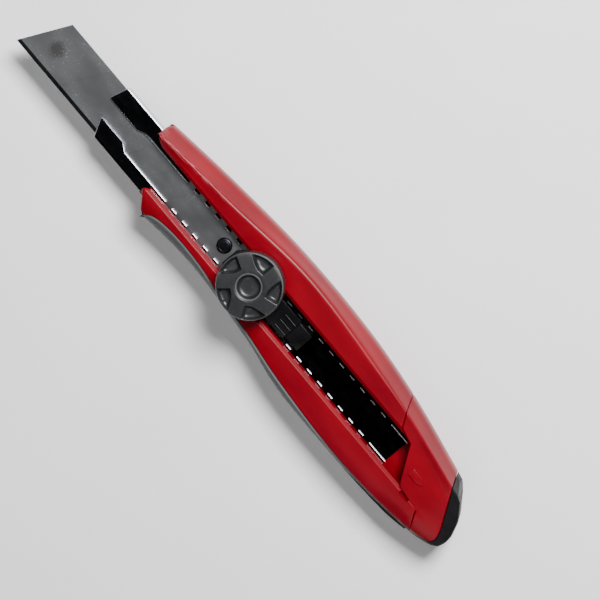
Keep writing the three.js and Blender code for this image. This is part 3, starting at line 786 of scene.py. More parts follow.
def multiply(tree, first, second):
    return add_node(tree, "ShaderNodeMath", {0: first, 1: second}, operation="MULTIPLY").outputs[0]


def moulded_red():
    """Injection-moulded ABS: glossy, with faint flow clouds, and pink scuffs near the nose."""
    looks = bpy.context.scene.knife_looks
    mat, tree, shader, place = start_material("Glossy red ABS", IOR=1.38)
    shader.inputs["Specular IOR Level"].default_value = 0.3
    deep = (*[0.72 * c for c in looks.red[:3]], 1)
    clouds = grain(tree, place, 9, (2.5, 1, 1))
    share = ramp(tree, clouds, 0.3, 0.7, 0, 1)
    mix = add_node(tree, "ShaderNodeMix", {0: share}, data_type="RGBA")
    mix.inputs[6].default_value = deep
    mix.inputs[7].default_value = looks.red
    wear_and_highlight_mask = add_node(tree, "ShaderNodeAttribute", attribute_name="wear_and_highlight").outputs["Fac"]
    hairs = grain(tree, place, 0.35, (9, 1, 1), 0.5, 4)
    scuffs = multiply(tree, wear_and_highlight_mask, ramp(tree, hairs, 0.52, 0.62, 0, 0.55))
    scuffed = blend_colours(tree, scuffs, mix.outputs[2], "#e88a92")
    tree.links.new(scuffed, shader.inputs["Base Color"])
    fine = grain(tree, place, 0.25, detail=2)
    rough = ramp(tree, fine, 0.3, 0.7, 0.3, 0.38)
    worn_rough = add_node(tree, "ShaderNodeMath", {0: rough, 1: scuffs}, operation="ADD").outputs[0]
    tree.links.new(worn_rough, shader.inputs["Roughness"])
    bump(tree, shader, fine, 0.008, 0.5)
    return mat


def grip_rubber():
    """Thermoplastic rubber: soft grey, matt, with a fine spark-eroded grain and a painted highlight
    along its upper edge.
    """
    mat, tree, shader, place = start_material("Grey thermoplastic rubber", IOR=1.5)
    shader.inputs["Sheen Weight"].default_value = 0.15
    shader.inputs["Sheen Roughness"].default_value = 0.5
    clouds = grain(tree, place, 6)
    wear_and_highlight_mask = add_node(tree, "ShaderNodeAttribute", attribute_name="wear_and_highlight").outputs["Fac"]
    body = blend_colours(tree, ramp(tree, clouds, 0.3, 0.7, 0, 1), "#2a2d2e", "#343839")
    # Painted highlight: the mask lightens the grip's upper edge to a pale grey.
    tree.links.new(blend_colours(tree, wear_and_highlight_mask, body, "#5e6365"), shader.inputs["Base Color"])
    fine = grain(tree, place, 0.3)
    tree.links.new(ramp(tree, fine, 0.3, 0.7, 0.62, 0.78), shader.inputs["Roughness"])
    bump(tree, shader, fine, 0.03, 0.6)
    return mat


def bumper_rubber():
    """Hard black rubber: darker and a little glossier than the grip, with a dull bloom."""
    mat, tree, shader, place = start_material("Black bumper rubber", IOR=1.45)
    clouds = grain(tree, place, 4)
    tree.links.new(
        blend_colours(tree, ramp(tree, clouds, 0.35, 0.7, 0, 1), "#060608", "#0d0d10"),
        shader.inputs["Base Color"],
    )
    fine = grain(tree, place, 0.35)
    shader.inputs["Specular IOR Level"].default_value = 0.25
    tree.links.new(ramp(tree, fine, 0.3, 0.7, 0.42, 0.55), shader.inputs["Roughness"])
    bump(tree, shader, fine, 0.02, 0.5)
    return mat


def wheel_nylon():
    """Glass-filled nylon: dark grey with pale fibre specks, satin, slightly pebbled, with a painted
    highlight round the wheel's rim and the plug's lip.
    """
    mat, tree, shader, place = start_material("Glass-filled grey nylon", IOR=1.53)
    clouds = grain(tree, place, 3)
    body = blend_colours(tree, ramp(tree, clouds, 0.3, 0.7, 0, 1), "#141517", "#1e1f21")
    specks = grain(tree, place, 0.22, detail=1)
    flecks = ramp(tree, specks, 0.66, 0.74, 0, 0.35)
    wear_and_highlight_mask = add_node(tree, "ShaderNodeAttribute", attribute_name="wear_and_highlight").outputs["Fac"]
    light = blend_colours(tree, flecks, body, "#55575a")
    # Painted highlight: the mask lightens the wheel's rim and the plug's lip to a pale grey.
    tree.links.new(blend_colours(tree, wear_and_highlight_mask, light, "#74777a"), shader.inputs["Base Color"])
    fine = grain(tree, place, 0.4)
    tree.links.new(ramp(tree, fine, 0.3, 0.7, 0.34, 0.46), shader.inputs["Roughness"])
    bump(tree, shader, fine, 0.025, 0.5)
    return mat


def slider_nylon():
    """Black nylon: near-black with a waxy gloss that catches along its edges."""
    mat, tree, shader, place = start_material("Black nylon", IOR=1.45)
    clouds = grain(tree, place, 3)
    tree.links.new(
        blend_colours(tree, ramp(tree, clouds, 0.3, 0.7, 0, 1), "#050506", "#0b0b0d"),
        shader.inputs["Base Color"],
    )
    fine = grain(tree, place, 0.3)
    shader.inputs["Specular IOR Level"].default_value = 0.25
    tree.links.new(ramp(tree, fine, 0.3, 0.7, 0.24, 0.34), shader.inputs["Roughness"])
    bump(tree, shader, fine, 0.015, 0.5)
    return mat


def channel_steel():
    """Black-coated stainless sheet: glossy, uncoated at its sheared edges, with a painted highlight
    along its spine side's bend.
    """
    mat, tree, shader, place = start_material("Black-coated stainless sheet", Metallic=1.0)
    lines = grain(tree, place, 0.12, (60, 1, 1), detail=2)
    rubs = grain(tree, place, 2.5, (3, 1, 1))
    specks = grain(tree, place, 0.35, detail=2)
    body = blend_colours(tree, ramp(tree, rubs, 0.35, 0.75, 0, 1), "#0b0b0d", "#18191c")
    speckled = blend_colours(tree, ramp(tree, specks, 0.68, 0.76, 0, 0.5), body, "#6c6d72")
    # The mask makes the sheared edges pale and also paints a highlight along the spine side's bend.
    edge = add_node(tree, "ShaderNodeAttribute", attribute_name="bare").outputs["Fac"]
    tree.links.new(blend_colours(tree, edge, speckled, "#dfe1ea"), shader.inputs["Base Color"])
    gloss = ramp(tree, rubs, 0.3, 0.7, 0.16, 0.3)
    dull = add_node(tree, "ShaderNodeMath", {0: edge, 2: gloss}, operation="MULTIPLY_ADD")
    dull.inputs[1].default_value = 0.2
    tree.links.new(dull.outputs[0], shader.inputs["Roughness"])
    bump(tree, shader, lines, 0.004, 0.4)
    return mat


def blade_steel():
    """Ground carbon steel: satin, with pale spots and hairs, a darker honed bevel and a stain."""
    mat, tree, shader, place = start_material("Ground carbon steel", Metallic=1.0)
    along = add_node(tree, "ShaderNodeSeparateXYZ", {0: place})
    edge = (BLADE_HIGH[1] - 1.35) * MM
    honed = ramp(tree, along.outputs[1], edge - 0.05 * MM, edge + 0.05 * MM, 0, 1)
    strokes = grain(tree, place, 0.16, (1, 40, 1), detail=3)
    smears = grain(tree, place, 9, (2, 1, 1), 0.4, 6)
    specks = grain(tree, place, 0.4, (1, 1.6, 1), 0.5, 3)
    hairs = grain(tree, place, 0.5, (1, 14, 1), 0.9, 2)
    body = blend_colours(tree, ramp(tree, smears, 0.35, 0.7, 0, 1), "#6b6d6f", "#76787a")
    spots = ramp(tree, specks, 0.64, 0.7, 0, 0.75)
    scratched = ramp(tree, hairs, 0.69, 0.72, 0, 0.5)
    marks = add_node(tree, "ShaderNodeMath", {0: spots, 1: scratched}, operation="MAXIMUM")
    lighter = multiply(tree, marks.outputs[0], ramp(tree, smears, 0.45, 0.6, 0, 1))
    marked = blend_colours(tree, lighter, body, "#c4c6c8")
    tip = (BLADE_HIGH[0] - 11.5, BLADE_HIGH[1] - 8.5, BLADE_HIGH[2])
    away = add_node(
        tree,
        "ShaderNodeVectorMath",
        {0: place},
        operation="DISTANCE",
    )
    away.inputs[1].default_value = [v * MM for v in tip]
    uneven = add_node(tree, "ShaderNodeMath", {0: away.outputs["Value"]}, operation="ADD")
    tree.links.new(ramp(tree, specks, 0, 1, -1.4 * MM, 1.4 * MM), uneven.inputs[1])
    stain = ramp(tree, uneven.outputs[0], 3.6 * MM, 1.6 * MM, 0, 0.55)
    stained = blend_colours(tree, stain, marked, "#3a3533")
    tree.links.new(blend_colours(tree, honed, stained, "#3c3d40"), shader.inputs["Base Color"])
    rough = ramp(tree, smears, 0.3, 0.7, 0.36, 0.5)
    lessened = add_node(tree, "ShaderNodeMath", {0: honed}, operation="MULTIPLY")
    lessened.inputs[1].default_value = 0.16
    smoother = add_node(
        tree,
        "ShaderNodeMath",
        {0: rough, 1: lessened.outputs[0]},
        operation="SUBTRACT",
        use_clamp=True,
    )
    tree.links.new(smoother.outputs[0], shader.inputs["Roughness"])
    bump(tree, shader, strokes, 0.006, 0.35)
    return mat


def worked_metal(name, dark, light, gloss, size):
    """A small metal fitting: one plated or bare metal, with soft mottling from its finish."""
    mat, tree, shader, place = start_material(name, Metallic=1.0)
    mottle = grain(tree, place, size)
    tree.links.new(
        blend_colours(tree, ramp(tree, mottle, 0.3, 0.7, 0, 1), dark, light),
        shader.inputs["Base Color"],
    )
    fine = grain(tree, place, 0.3)
    tree.links.new(ramp(tree, fine, 0.3, 0.7, gloss, gloss + 0.12), shader.inputs["Roughness"])
    bump(tree, shader, fine, 0.006, 0.4)
    return mat


def studio_floor():
    """Matt painted board: pale grey, with the faintest roller texture."""
    mat, tree, shader, place = start_material("Pale painted board", IOR=1.4)
    clouds = grain(tree, place, 60)
    tree.links.new(
        blend_colours(tree, ramp(tree, clouds, 0.3, 0.7, 0, 1), "#f4f4f4", "#f8f8f8"),
        shader.inputs["Base Color"],
    )
    fine = grain(tree, place, 1.5)
    tree.links.new(ramp(tree, fine, 0.3, 0.7, 0.7, 0.85), shader.inputs["Roughness"])
    bump(tree, shader, fine, 0.02, 0.3)
    return mat


# ------------------------------------------------------------------ shapes of the handle

GRIP_REAR = BUTT + 11.4
GRIP_FRONT = BELLY_NOSE - 6.4
SPIGOT_REAR = BACK_LOW[0] + 2.4
SPIGOT_INSET = CAP_WALL + 0.2
SLOT_REAR = CHANNEL_REAR - 9.6
POCKET_HALF = CHANNEL_HALF + 0.15


def side_width(section, z):
    """How far the belly side reaches at a height."""
    zs = [
        section.low,
        section.low + 0.06 * section.height,
        section.low + 0.18 * section.height,
        section.low + 0.32 * section.height,
    ]
    ys = [section.belly - 2.8, section.belly - 1.1, section.belly - 0.25, section.belly]
    return float(np.interp(z, zs, ys))


def face_height(section, y):
    """Height of the belly half of the face, out to the side."""
    line = [(section.start, section.top)] + section.belly_face()[:-1]
    return float(np.interp(y, [p[0] for p in line], [p[1] for p in line]))


def has_grip(x):
    return GRIP_REAR - 1 < x < GRIP_FRONT + 0.15


def spine_rail(x):
    s = Section(x)
    return flowing(s.spine_wall() + slot_edge(-1, s.top))


def spine_rail_core(x):
    count = len(spine_rail(x))
    share = np.linspace(0, 1, count)
    rise = [0, 0.6, 1]
    y = np.interp(share, rise, [-POCKET_HALF, -POCKET_HALF, -SLOT_HALF + 0.05])
    z = np.interp(share, rise, [PARTING, LIP_TOP + 0.1, LIP_TOP + 0.1])
    return np.column_stack([y, z])


def belly_rail(x):
    s = Section(x)
    start = slot_edge(1, s.top)[::-1]
    middle, shoulder, side, flank, foot = s.belly_face()
    if not has_grip(x):
        steps = [
            middle,
            (shoulder[0] - 1.4, face_height(s, shoulder[0] - 1.4)),
            (shoulder[0] - 0.7, face_height(s, shoulder[0] - 0.7)),
            shoulder,
            ((shoulder[0] + side[0]) / 2, (shoulder[1] + side[1]) / 2),
            side,
            flank,
            foot,
        ]
        return flowing(start + steps)
    inner = Section(x, GRIP_THICKNESS + SEAM)
    edge = CHANNEL_HALF + float(grip_edge(x))
    height = face_height(s, edge)
    _, low_shoulder, low_side, low_flank, low_foot = inner.belly_face()
    foot_of_step = max(low_shoulder[0], edge + 0.1)
    steps = [
        ((FACE_START + edge) / 2, face_height(s, (FACE_START + edge) / 2)),
        (edge - 0.5, face_height(s, edge - 0.5)),
        (edge, height),
        (edge + 0.03, height - 1.2),
        (foot_of_step, face_height(inner, foot_of_step)),
        low_side,
        low_flank,
        low_foot,
    ]
    return flowing(start + steps)


def belly_rail_core(x):
    count = len(belly_rail(x))
    share = np.linspace(0, 1, count)
    rise = [0, 0.4, 1]
    y = np.interp(share, rise, [SLOT_HALF - 0.05, POCKET_HALF, POCKET_HALF])
    z = np.interp(share, rise, [LIP_TOP + 0.1, LIP_TOP + 0.1, PARTING])
    return np.column_stack([y, z])


def grip_skin(x):
    s = Section(x)
    edge = CHANNEL_HALF + float(grip_edge(x)) + SEAM
    shoulder = max(s.belly - 1.8, edge + 1)
    top = face_height(s, edge)
    return flowing([
        (edge, top - 1.3),
        (edge, top - 0.5),
        (edge + 0.02, top - 0.05),
        (edge + 0.45, face_height(s, edge + 0.45) + 0.06),
        (shoulder, face_height(s, shoulder)),
        (max(s.belly - 0.5, edge + 1.2), s.low + 0.74 * s.height),
        (s.belly, s.low + 0.58 * s.height),
        (s.belly, s.low + 0.32 * s.height),
        (side_width(s, s.low + 0.24 * s.height), s.low + 0.24 * s.height),
        (side_width(s, GRIP_BOTTOM + 0.5), GRIP_BOTTOM + 0.5),
        (side_width(s, GRIP_BOTTOM) - 0.1, GRIP_BOTTOM + 0.05),
        (side_width(s, GRIP_BOTTOM) - GRIP_THICKNESS + 0.1, GRIP_BOTTOM),
    ])


def grip_skin_core(x):
    s = Section(x, GRIP_THICKNESS)
    edge = CHANNEL_HALF + float(grip_edge(x)) + SEAM
    shoulder = max(s.belly - 1.8, edge + 1)
    under = side_width(s, GRIP_BOTTOM)
    return flowing([
        (edge, face_height(Section(x), edge) - 1.3),
        (edge + 0.05, face_height(s, edge + 0.05)),
        (edge + 0.1, face_height(s, edge + 0.1)),
        (edge + 0.45, face_height(s, edge + 0.45)),
        (shoulder, face_height(s, shoulder)),
        (max(s.belly - 0.5, edge + 1.05), s.low + 0.74 * s.height),
        (s.belly, s.low + 0.58 * s.height),
        (s.belly, s.low + 0.32 * s.height),
        (side_width(s, s.low + 0.24 * s.height), s.low + 0.24 * s.height),
        (under, GRIP_BOTTOM + 0.5),
        (under, GRIP_BOTTOM + 0.2),
        (side_width(Section(x), GRIP_BOTTOM) - GRIP_THICKNESS + 0.1, GRIP_BOTTOM),
    ])


def back_half(x):
    s = Section(x)
    start = s.spine_back() + [(0.0, s.low)]
    under = s.belly_back()
    if not has_grip(x):
        steps = [
            under[0],
            under[1],
            under[2],
            (side_width(s, s.low + 0.13 * s.height), s.low + 0.13 * s.height),
            under[3],
            (side_width(s, s.low + 0.25 * s.height), s.low + 0.25 * s.height),
            under[4],
            under[5],
        ]
        return flowing(start + steps)
    inner = Section(x, GRIP_THICKNESS + SEAM)
    lip = GRIP_BOTTOM - SEAM
    steps = [
        under[0],
        under[1],
        (side_width(s, lip - 0.9), lip - 0.9),
        (side_width(s, lip) - 0.1, lip - 0.1),
        (side_width(inner, lip + 0.1), lip),
        (side_width(inner, 4), 4),
        (inner.belly, inner.low + 0.32 * inner.height),
        (inner.belly, PARTING),
    ]
    return flowing(start + steps)


def back_half_core(x):
    """The back half's upper side: flat at the parting, raised between the channel's walls."""
    outer = back_half(x)
    y = np.linspace(0, 1, len(outer))
    width_low, width_high = outer[0][0], outer[-1][0]
    stops = [0, 0.15, 0.2, 0.8, 0.85, 1]
    ys = [width_low, -POCKET_HALF, -POCKET_HALF + 0.1, POCKET_HALF - 0.1, POCKET_HALF, width_high]
    support = CHANNEL_LOW[2] - 0.1
    zs = [PARTING, PARTING, support, support, PARTING, PARTING]
    return np.column_stack([np.interp(y, stops, ys), np.interp(y, stops, zs)])


def whole_ring(x, inset=0.0):
    """The handle's whole outline as a closed chain."""
    s = Section(x, inset)
    chain = s.spine_wall() + [(-s.flat, s.top), (0.0, s.top), (s.start, s.top)] + s.belly_face()
    chain += s.belly_back()[-2::-1] + [(0.0, s.low)] + s.spine_back()[:0:-1]
    return flowing(chain, closed=True)


def cap_hollow(x):
    return whole_ring(x, CAP_WALL)


def spigot_top(x):
    """The spine half of the spigot that the cap slides over, with a flat top."""
    s = Section(x, SPIGOT_INSET)
    wall = s.spine_wall()
    chain = [(y, min(z, s.top)) for y, z in wall[:5]]
    middle = (-s.ridge + 0.3 - SLOT_HALF) / 2
    return flowing(chain + [(-s.ridge + 0.3, s.top), (middle, s.top), (-SLOT_HALF, s.top)])


def spigot_top_core(x):
    """The spigot's inner side: the channel's pocket, or its own wall where the butt narrows."""
    count = len(spigot_top(x))
    share = np.linspace(0, 1, count)
    wall = -min(POCKET_HALF, Section(x, SPIGOT_INSET).spine - 1)
    y = np.interp(share, [0, 0.5, 1], [wall, wall, -SLOT_HALF])
    z = np.interp(share, [0, 0.5, 1], [PARTING, LIP_TOP, LIP_TOP])
    return np.column_stack([y, z])


def spigot_back(x):
    s = Section(x, SPIGOT_INSET)
    return flowing(s.spine_back() + [(0.0, s.low), (SLOT_HALF, s.low), (SLOT_HALF + 3, s.low)])


def spigot_back_core(x):
    outer = spigot_back(x)
    y = np.linspace(outer[0][0], outer[-1][0], len(outer))
    return np.column_stack([y, np.full(len(y), PARTING)])


def steady(x):
    """An end that stands square across the handle."""
    return lambda y: np.full(np.shape(y), x, float)


def cap_front(y):
    return np.maximum(cap_parting(y), bumper_parting(y) + 0.5)


def after(curve, gap):
    return lambda y: curve(y) + gap


def ridge_wear(points):
    """Near 1 on the spine ridge's crest and 0 a millimetre away, stronger toward the nose."""
    x, y, z = points.T
    ridge = CHANNEL_HALF + spine_outline(x) - ridge_inset(x)
    away = np.hypot(y + ridge, z - FACE - RIDGE_HEIGHT)
    toward_nose = np.clip((x - 20) / 30, 0.05, 0.8)
    front = np.clip((x - NOSE + 3.5) / 3, 0, 1) * 0.5
    return np.clip(np.exp(-(away / 0.7) ** 2) * toward_nose + front * (z > LIP_TOP), 0, 1)


def painted_grip_highlight(points):
    """Painted highlight: pale along the grip's upper edge, where light catches its rounded lip."""
    x, y, z = points.T
    edge = CHANNEL_HALF + grip_edge(x) + SEAM
    return np.clip(0.75 * np.exp(-((y - edge - 0.25) / 0.4) ** 2) * (z > PARTING), 0, 1)


# ------------------------------------------------------------------ pieces


def dress(piece, body, slot, material, *nodes):
    """Gives a piece its body and its finish, and hides the CAD nodes it stands for. The slot is not
    used.
    """
    piece.data.materials.clear()
    piece.data.materials.append(material)
    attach(piece, body)
    if nodes:
        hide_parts(*nodes)
    return piece


def refinish(node, material):
    """Gives a CAD node a better finish and leaves its mesh alone."""
    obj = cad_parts[node]
    for place in obj.material_slots:
        place.material = material


def front_moulding():
    rear = after(cap_parting, SEAM)
    spine = band("spine rail", spine_rail, spine_rail_core, rear, spine_nose, soft=(0.25, 1.5))
    belly = band("belly rail", belly_rail, belly_rail_core, rear, belly_nose, soft=(0.25, 1.2))
    low, high, width, depth = BUTT + 19.3, BUTT + 23.9, 1.9, 1.2
    catch = [
        (low, SLOT_HALF - 0.5),
        (high - 1.5, SLOT_HALF - 0.5),
        (high, SLOT_HALF + 1.2),
        (high - 0.6, SLOT_HALF + width),
        (low, SLOT_HALF + width),
    ]
    carve(belly, solid_between("catch", catch, FACE - depth, FACE + 2))
    inside = band(
        "spigot", spigot_top, spigot_top_core, steady(SPIGOT_REAR), after(cap_parting, 1.5), 2.0
    )
    top = FACE - SPIGOT_INSET
    bridge = [
        (SPIGOT_REAR, -SLOT_HALF - 0.5),
        (SLOT_REAR, -SLOT_HALF - 0.5),
        (SLOT_REAR, SLOT_HALF),
        (SPIGOT_REAR, SLOT_HALF + 3),
    ]
    web_top, web_low = top - 3.2, top - 5.2
    web = solid_between("spigot web", bridge, web_low, web_top, 0.3)
    piece = join("front_moulding", [spine, belly, inside, web])
    tidy_mesh(piece)
    paint(piece, "wear_and_highlight", ridge_wear)
    return piece


def back_moulding():
    rear = after(cap_parting, SEAM)
    body = band("back half", back_half, back_half_core, rear, back_front, soft=(0.25, 0.8))
    for i in range(1, 5):
        low, high = node_box(f"shell_screw_{i}")
        middle = (low + high) / 2
        radius = (high[0] - low[0]) / 2 + 0.2
        seat = turned(
            "seat",
            [(0.001, -1), (radius, -1), (radius, low[2] + 1.8), (0.001, low[2] + 1.8)],
            middle,
            48,
        )
        carve(body, seat)
    inside = band(
        "spigot", spigot_back, spigot_back_core, steady(SPIGOT_REAR), after(cap_parting, 1.5), 2.0
    )
    return join("back_moulding", [body, inside])


def rubber_grip():
    rear = after(cap_front, 2 * SEAM)
    piece = band(
        "rubber_grip", grip_skin, grip_skin_core, rear, steady(GRIP_FRONT), soft=(0.3, 0.4)
    )
    # Painted highlight along the grip's upper edge.
    paint(piece, "wear_and_highlight", painted_grip_highlight)
    return piece


def cap_moulding():
    rear = after(bumper_parting, SEAM)
    body = band(
        "cap", whole_ring, cap_hollow, rear, after(cap_front, -SEAM), soft=(0.25, 0.3), closed=True
    )
    front, tip, half = CHANNEL_REAR - 7.6, CHANNEL_REAR - 14.3, 1.4
    neck = tip + 2.2
    outline = [(tip, 0.0), (neck, -half), (front, -half), (front, half), (neck, half)]
    tag = solid_between("tag", outline, FACE - 0.3, FACE + 0.25, 0.12)
    return join("cap_moulding", [body, tag])


def bumper_pad():
    """The pad: its upper and lower halves are two chains that meet at the handle's widest line."""

    def over(x):
        s = Section(x)
        chain = s.spine_wall() + [(-s.flat, s.top), (0.0, s.top), (s.start, s.top)]
        return flowing(chain + s.belly_face())

    def under(x):
        top = over(x)
        s = Section(x)
        chain = s.spine_back() + [(0.0, s.low)] + s.belly_back()
        low = flowing(chain, 3)
        z = np.interp(top[:, 0], low[:, 0], low[:, 1])
        z[0] = z[-1] = PARTING
        return np.column_stack([top[:, 0], z])

    return band(
        "bumper_pad", over, under, butt_end, after(bumper_parting, -SEAM), 0.7, soft=(0.9, 0.2)
    )


LIP_OFFSET = 0.5
LIP_GAP = 9.4
TAB_GAP = 6.2
TAB_CENTRE = 0.3
TAB_REAR = CHANNEL_FRONT - 14.7
TAB_STEP = 2.6
NOTCH_DEPTH = 1.6
FIRST_NOTCH = 38.2
LAST_PLAIN_LIP = 8.2
SHEET_EDGE = 0.22

channel_front = plan_curve([
    (CHANNEL_FRONT - 2.6, -40),
    (CHANNEL_FRONT - 2.6, -CHANNEL_HALF - 1),
    (CHANNEL_FRONT - 0.1, -SLOT_HALF + 1.9),
    (CHANNEL_FRONT - 0.3, -SLOT_HALF + 2.7),
    (CHANNEL_FRONT - 0.6, -SLOT_HALF + 3.1),
    (CHANNEL_FRONT - 1.3, -TAB_GAP / 2 + TAB_CENTRE),
    (CHANNEL_FRONT - 4.4, TAB_GAP / 2 + TAB_CENTRE),
    (CHANNEL_FRONT - 3.7, TAB_GAP / 2 + TAB_CENTRE + 0.2),
    (CHANNEL_FRONT - 3.4, TAB_GAP / 2 + TAB_CENTRE + 0.6),
    (CHANNEL_FRONT - 3.5, TAB_GAP / 2 + TAB_CENTRE + 1.2),
    (CHANNEL_FRONT - 4.1, TAB_GAP / 2 + TAB_CENTRE + 2),
    (CHANNEL_FRONT - 6.6, CHANNEL_HALF - 0.4),
    (CHANNEL_FRONT - 7.2, CHANNEL_HALF + 0.2),
    (CHANNEL_FRONT - 7.2, 40),
])


def lip_edge(side, x):
    """Y of a lip's inner edge, which steps in at the front tabs."""
    plain = LIP_OFFSET + side * LIP_GAP / 2
    tab = TAB_CENTRE + side * TAB_GAP / 2
    return float(np.interp(x, [TAB_REAR - TAB_STEP, TAB_REAR], [plain, tab]))


def channel_outside(x):
    """The sheet's outer face, from the spine lip's edge round to the belly lip's edge."""
    half, low, high, corner = CHANNEL_HALF, CHANNEL_LOW[2], LIP_TOP, 1.0
    spine, belly = lip_edge(-1, x), lip_edge(1, x)
    chain = [(spine, high - SHEET_EDGE), (spine - SHEET_EDGE, high), (spine - 0.5, high)]
    chain += arc_section(-half + corner, high - corner, corner, 90, 180)
    chain += arc_section(-half + corner, low + corner, corner, 180, 270)
    chain += [(0.0, low)]
    chain += arc_section(half - corner, low + corner, corner, 270, 360)
    chain += arc_section(half - corner, high - corner, corner, 0, 90)
    chain += [(belly + 0.5, high), (belly + SHEET_EDGE, high), (belly, high - SHEET_EDGE)]
    return np.array(chain)


def channel_inside(x):
    half = CHANNEL_HALF - SHEET
    low, high, corner = CHANNEL_LOW[2] + SHEET, LIP_TOP - SHEET, 0.3
    spine, belly = lip_edge(-1, x), lip_edge(1, x)
    chain = [(spine, high), (spine - SHEET_EDGE, high), (spine - 0.5, high)]
    chain += arc_section(-half + corner, high - corner, corner, 90, 180)
    chain += arc_section(-half + corner, low + corner, corner, 180, 270)
    chain += [(0.0, low)]
    chain += arc_section(half - corner, low + corner, corner, 270, 360)
    chain += arc_section(half - corner, high - corner, corner, 0, 90)
    chain += [(belly + 0.5, high), (belly + SHEET_EDGE, high), (belly, high)]
    return np.array(chain)


def arc_section(y, z, radius, start, end, steps=7):
    """Cross-section points on a bend; angles in degrees from +Y towards +Z."""
    turn = np.radians(np.linspace(start, end, steps))
    return [(y + radius * math.cos(a), z + radius * math.sin(a)) for a in turn]


def uncoated_edges_and_bend_highlight(points):
    """1 on the lips' sheared edges, less on the front edge, and a painted highlight on the spine
    side's bend only, else 0.
    """
    x, y, z = points.T
    on_top = z > LIP_TOP - SHEET - 0.05
    plain = (x < TAB_REAR - TAB_STEP) & (np.abs(y - LIP_OFFSET) < LIP_GAP / 2 + SHEET_EDGE + 0.05)
    tab = (x >= TAB_REAR - TAB_STEP) & (np.abs(y - TAB_CENTRE) < LIP_GAP / 2 + 0.05)
    sheared = on_top & (plain | (tab & (z < LIP_TOP - 0.02)))
    # Painted highlight: only the spine side's bend, the side the key light comes from, is made
    # bright.
    bend = np.clip((-y - CHANNEL_HALF + 0.8) / 0.4, 0, 1)
    front = np.clip((x - channel_front(y) + 0.3) / 0.1, 0, 1) * 0.8
    return np.maximum(np.maximum(sheared.astype(float), 0.85 * bend), front)


def steel_channel(material):
    piece = band(
        "steel_channel",
        channel_outside,
        channel_inside,
        steady(CHANNEL_REAR),
        channel_front,
        2.6,
        soft=(0, 0.35),
    )
    looks = bpy.context.scene.knife_looks
    plain = looks.tooth_pitch / MM
    cutter = plain - TOOTH_WIDTH
    reach = LIP_GAP + 2 * NOTCH_DEPTH
    room = FIRST_NOTCH - (CHANNEL_REAR + LAST_PLAIN_LIP)
    values = {
        "Count": int(room / plain) + 1,
        "First": [FIRST_NOTCH * MM, LIP_OFFSET * MM, LIP_TOP * MM],
        "Step": [-plain * MM, 0, 0],
        "Cutter": [cutter * MM, reach * MM, 2.2 * SHEET * MM],
        "Material": material,
    }
    grow(piece, notch_tree(), values)
    tidy_mesh(piece)
    # Uncoated sheared edges, and a painted highlight on the spine side's bend.
    paint(piece, "bare", uncoated_edges_and_bend_highlight)
    return piece


def pocketed_wheel():
    """The wheel: a lathe grid whose rings bend to follow five pockets, let down between them."""
    radius = (WHEEL_HIGH[0] - WHEEL_LOW[0]) / 2
    top, low = WHEEL_HIGH[2], WHEEL_LOW[2]
    dish, bore = 4.7, 4.15
    inner, outer, depth, wall = 6.1, 11.15, 1.9, 0.95
    pockets = 5
    span, sector = math.radians(47), 2 * math.pi / pockets
    start = math.radians(-19.5)
    near = [0.004, 0.02, 0.036, 0.052, 0.07]
    turns = [-0.02, -0.004] + near
    turns += [*np.linspace(0.1, span, 22), *np.linspace(span + 0.03, sector - 0.04, 12)]
    steps_in = (0.02, 0.05, 0.09, 0.14, 0.2, 0.4, 0.6, 0.8, 0.86, 0.91, 0.95, 0.98, 1)
    crown = [
        (dish - 0.2, 0.3),
        (dish, 0.1),
        (dish + 0.4, 0),
        (dish + 1, 0.02),
        (outer - 0.6, 0.45),
        (outer, 0.6),
        (radius - 0.35, 0.85),
        (radius - 0.1, 1.3),
        (radius, 2.0),
    ]

    def face(r):
        """Height of the wheel's upper face, which falls away from the crown's top."""
        return np.interp(r, [p[0] for p in crown], [top - p[1] for p in crown])

    def shoulder(turn):
        """Radius of a pocket's inner side, at an angle from the pocket's straight side."""
        share = turn / span
        if 0 <= share <= 1:
            return inner + (outer - inner) * share ** 4
        past = turn - span if turn > span else turn + sector - span
        rest = min(max(past / (sector - span), 0), 1)
        return outer + (inner - outer) * rest * rest * (3 - 2 * rest)

    def let_down(turn, r, bend):
        """How deep the pocket is at a point, from its distance to the pocket's three sides."""
        if not 0 < turn < span:
            return 0.0
        slope = math.atan2(4 * (outer - inner) * (turn / span) ** 3 / span, bend)
        gaps = np.maximum([(r - bend) * math.cos(slope), outer - r, r * turn], 1e-3)
        gap = float((gaps**-2.0).sum() ** -0.5)
        share = min(max(gap / wall, 0), 1)
        return depth * share * share * (3 - 2 * share)

    columns = []
    for k in range(pockets):
        for turn in turns:
            bend = shoulder(turn)
            a = start + k * sector + turn
            ring = [(bore, top - 2.25), (bore, low), (radius - 0.7, low)]
            ring += [(radius - 0.2, low + 0.2), (radius, low + 0.7), (radius, top - 3)]
            ring += [(radius, top - 2.3)]
            rim = np.linspace(radius - 0.02, outer, 9)
            ring += [(r, face(r)) for r in rim]
            width = outer - bend
            ring += [(bend + width * (1 - g), None) for g in steps_in]
            ring += [(r, face(r)) for r in np.linspace(bend, dish + 0.8, 6)[1:]]
            ring += [(r, face(r)) for r in (dish + 0.6, dish + 0.4, dish + 0.2, dish, dish - 0.1)]
            ring += [(dish - 0.1, top - 2.25)]
            placed = []
            for r, z in ring:
                height = face(r) - let_down(turn, r, bend) if z is None else z
                placed.append((r * math.cos(a), r * math.sin(a), height))
            columns.append(placed)
    count, rings = len(columns), len(columns[0])
    points = [p for column in columns for p in column]
    faces = []
    for c in range(count):
        for r in range(rings):
            d, e = (c + 1) % count, (r + 1) % rings
            faces.append((c * rings + r, c * rings + e, d * rings + e, d * rings + r))
    piece = tidy_mesh(object_from("pocketed_wheel", points, faces), sharp=60)

    # Painted highlight: a pale ring along the top edge of the wheel's rim.
    def painted_rim_highlight(places):
        x, y, z = places.T
        away = np.hypot(x, y)
        return 0.35 * np.exp(-((away - outer - 0.35) / 0.35) ** 2) * (z > top - 1.4)

    paint(piece, "wear_and_highlight", painted_rim_highlight)
    return piece


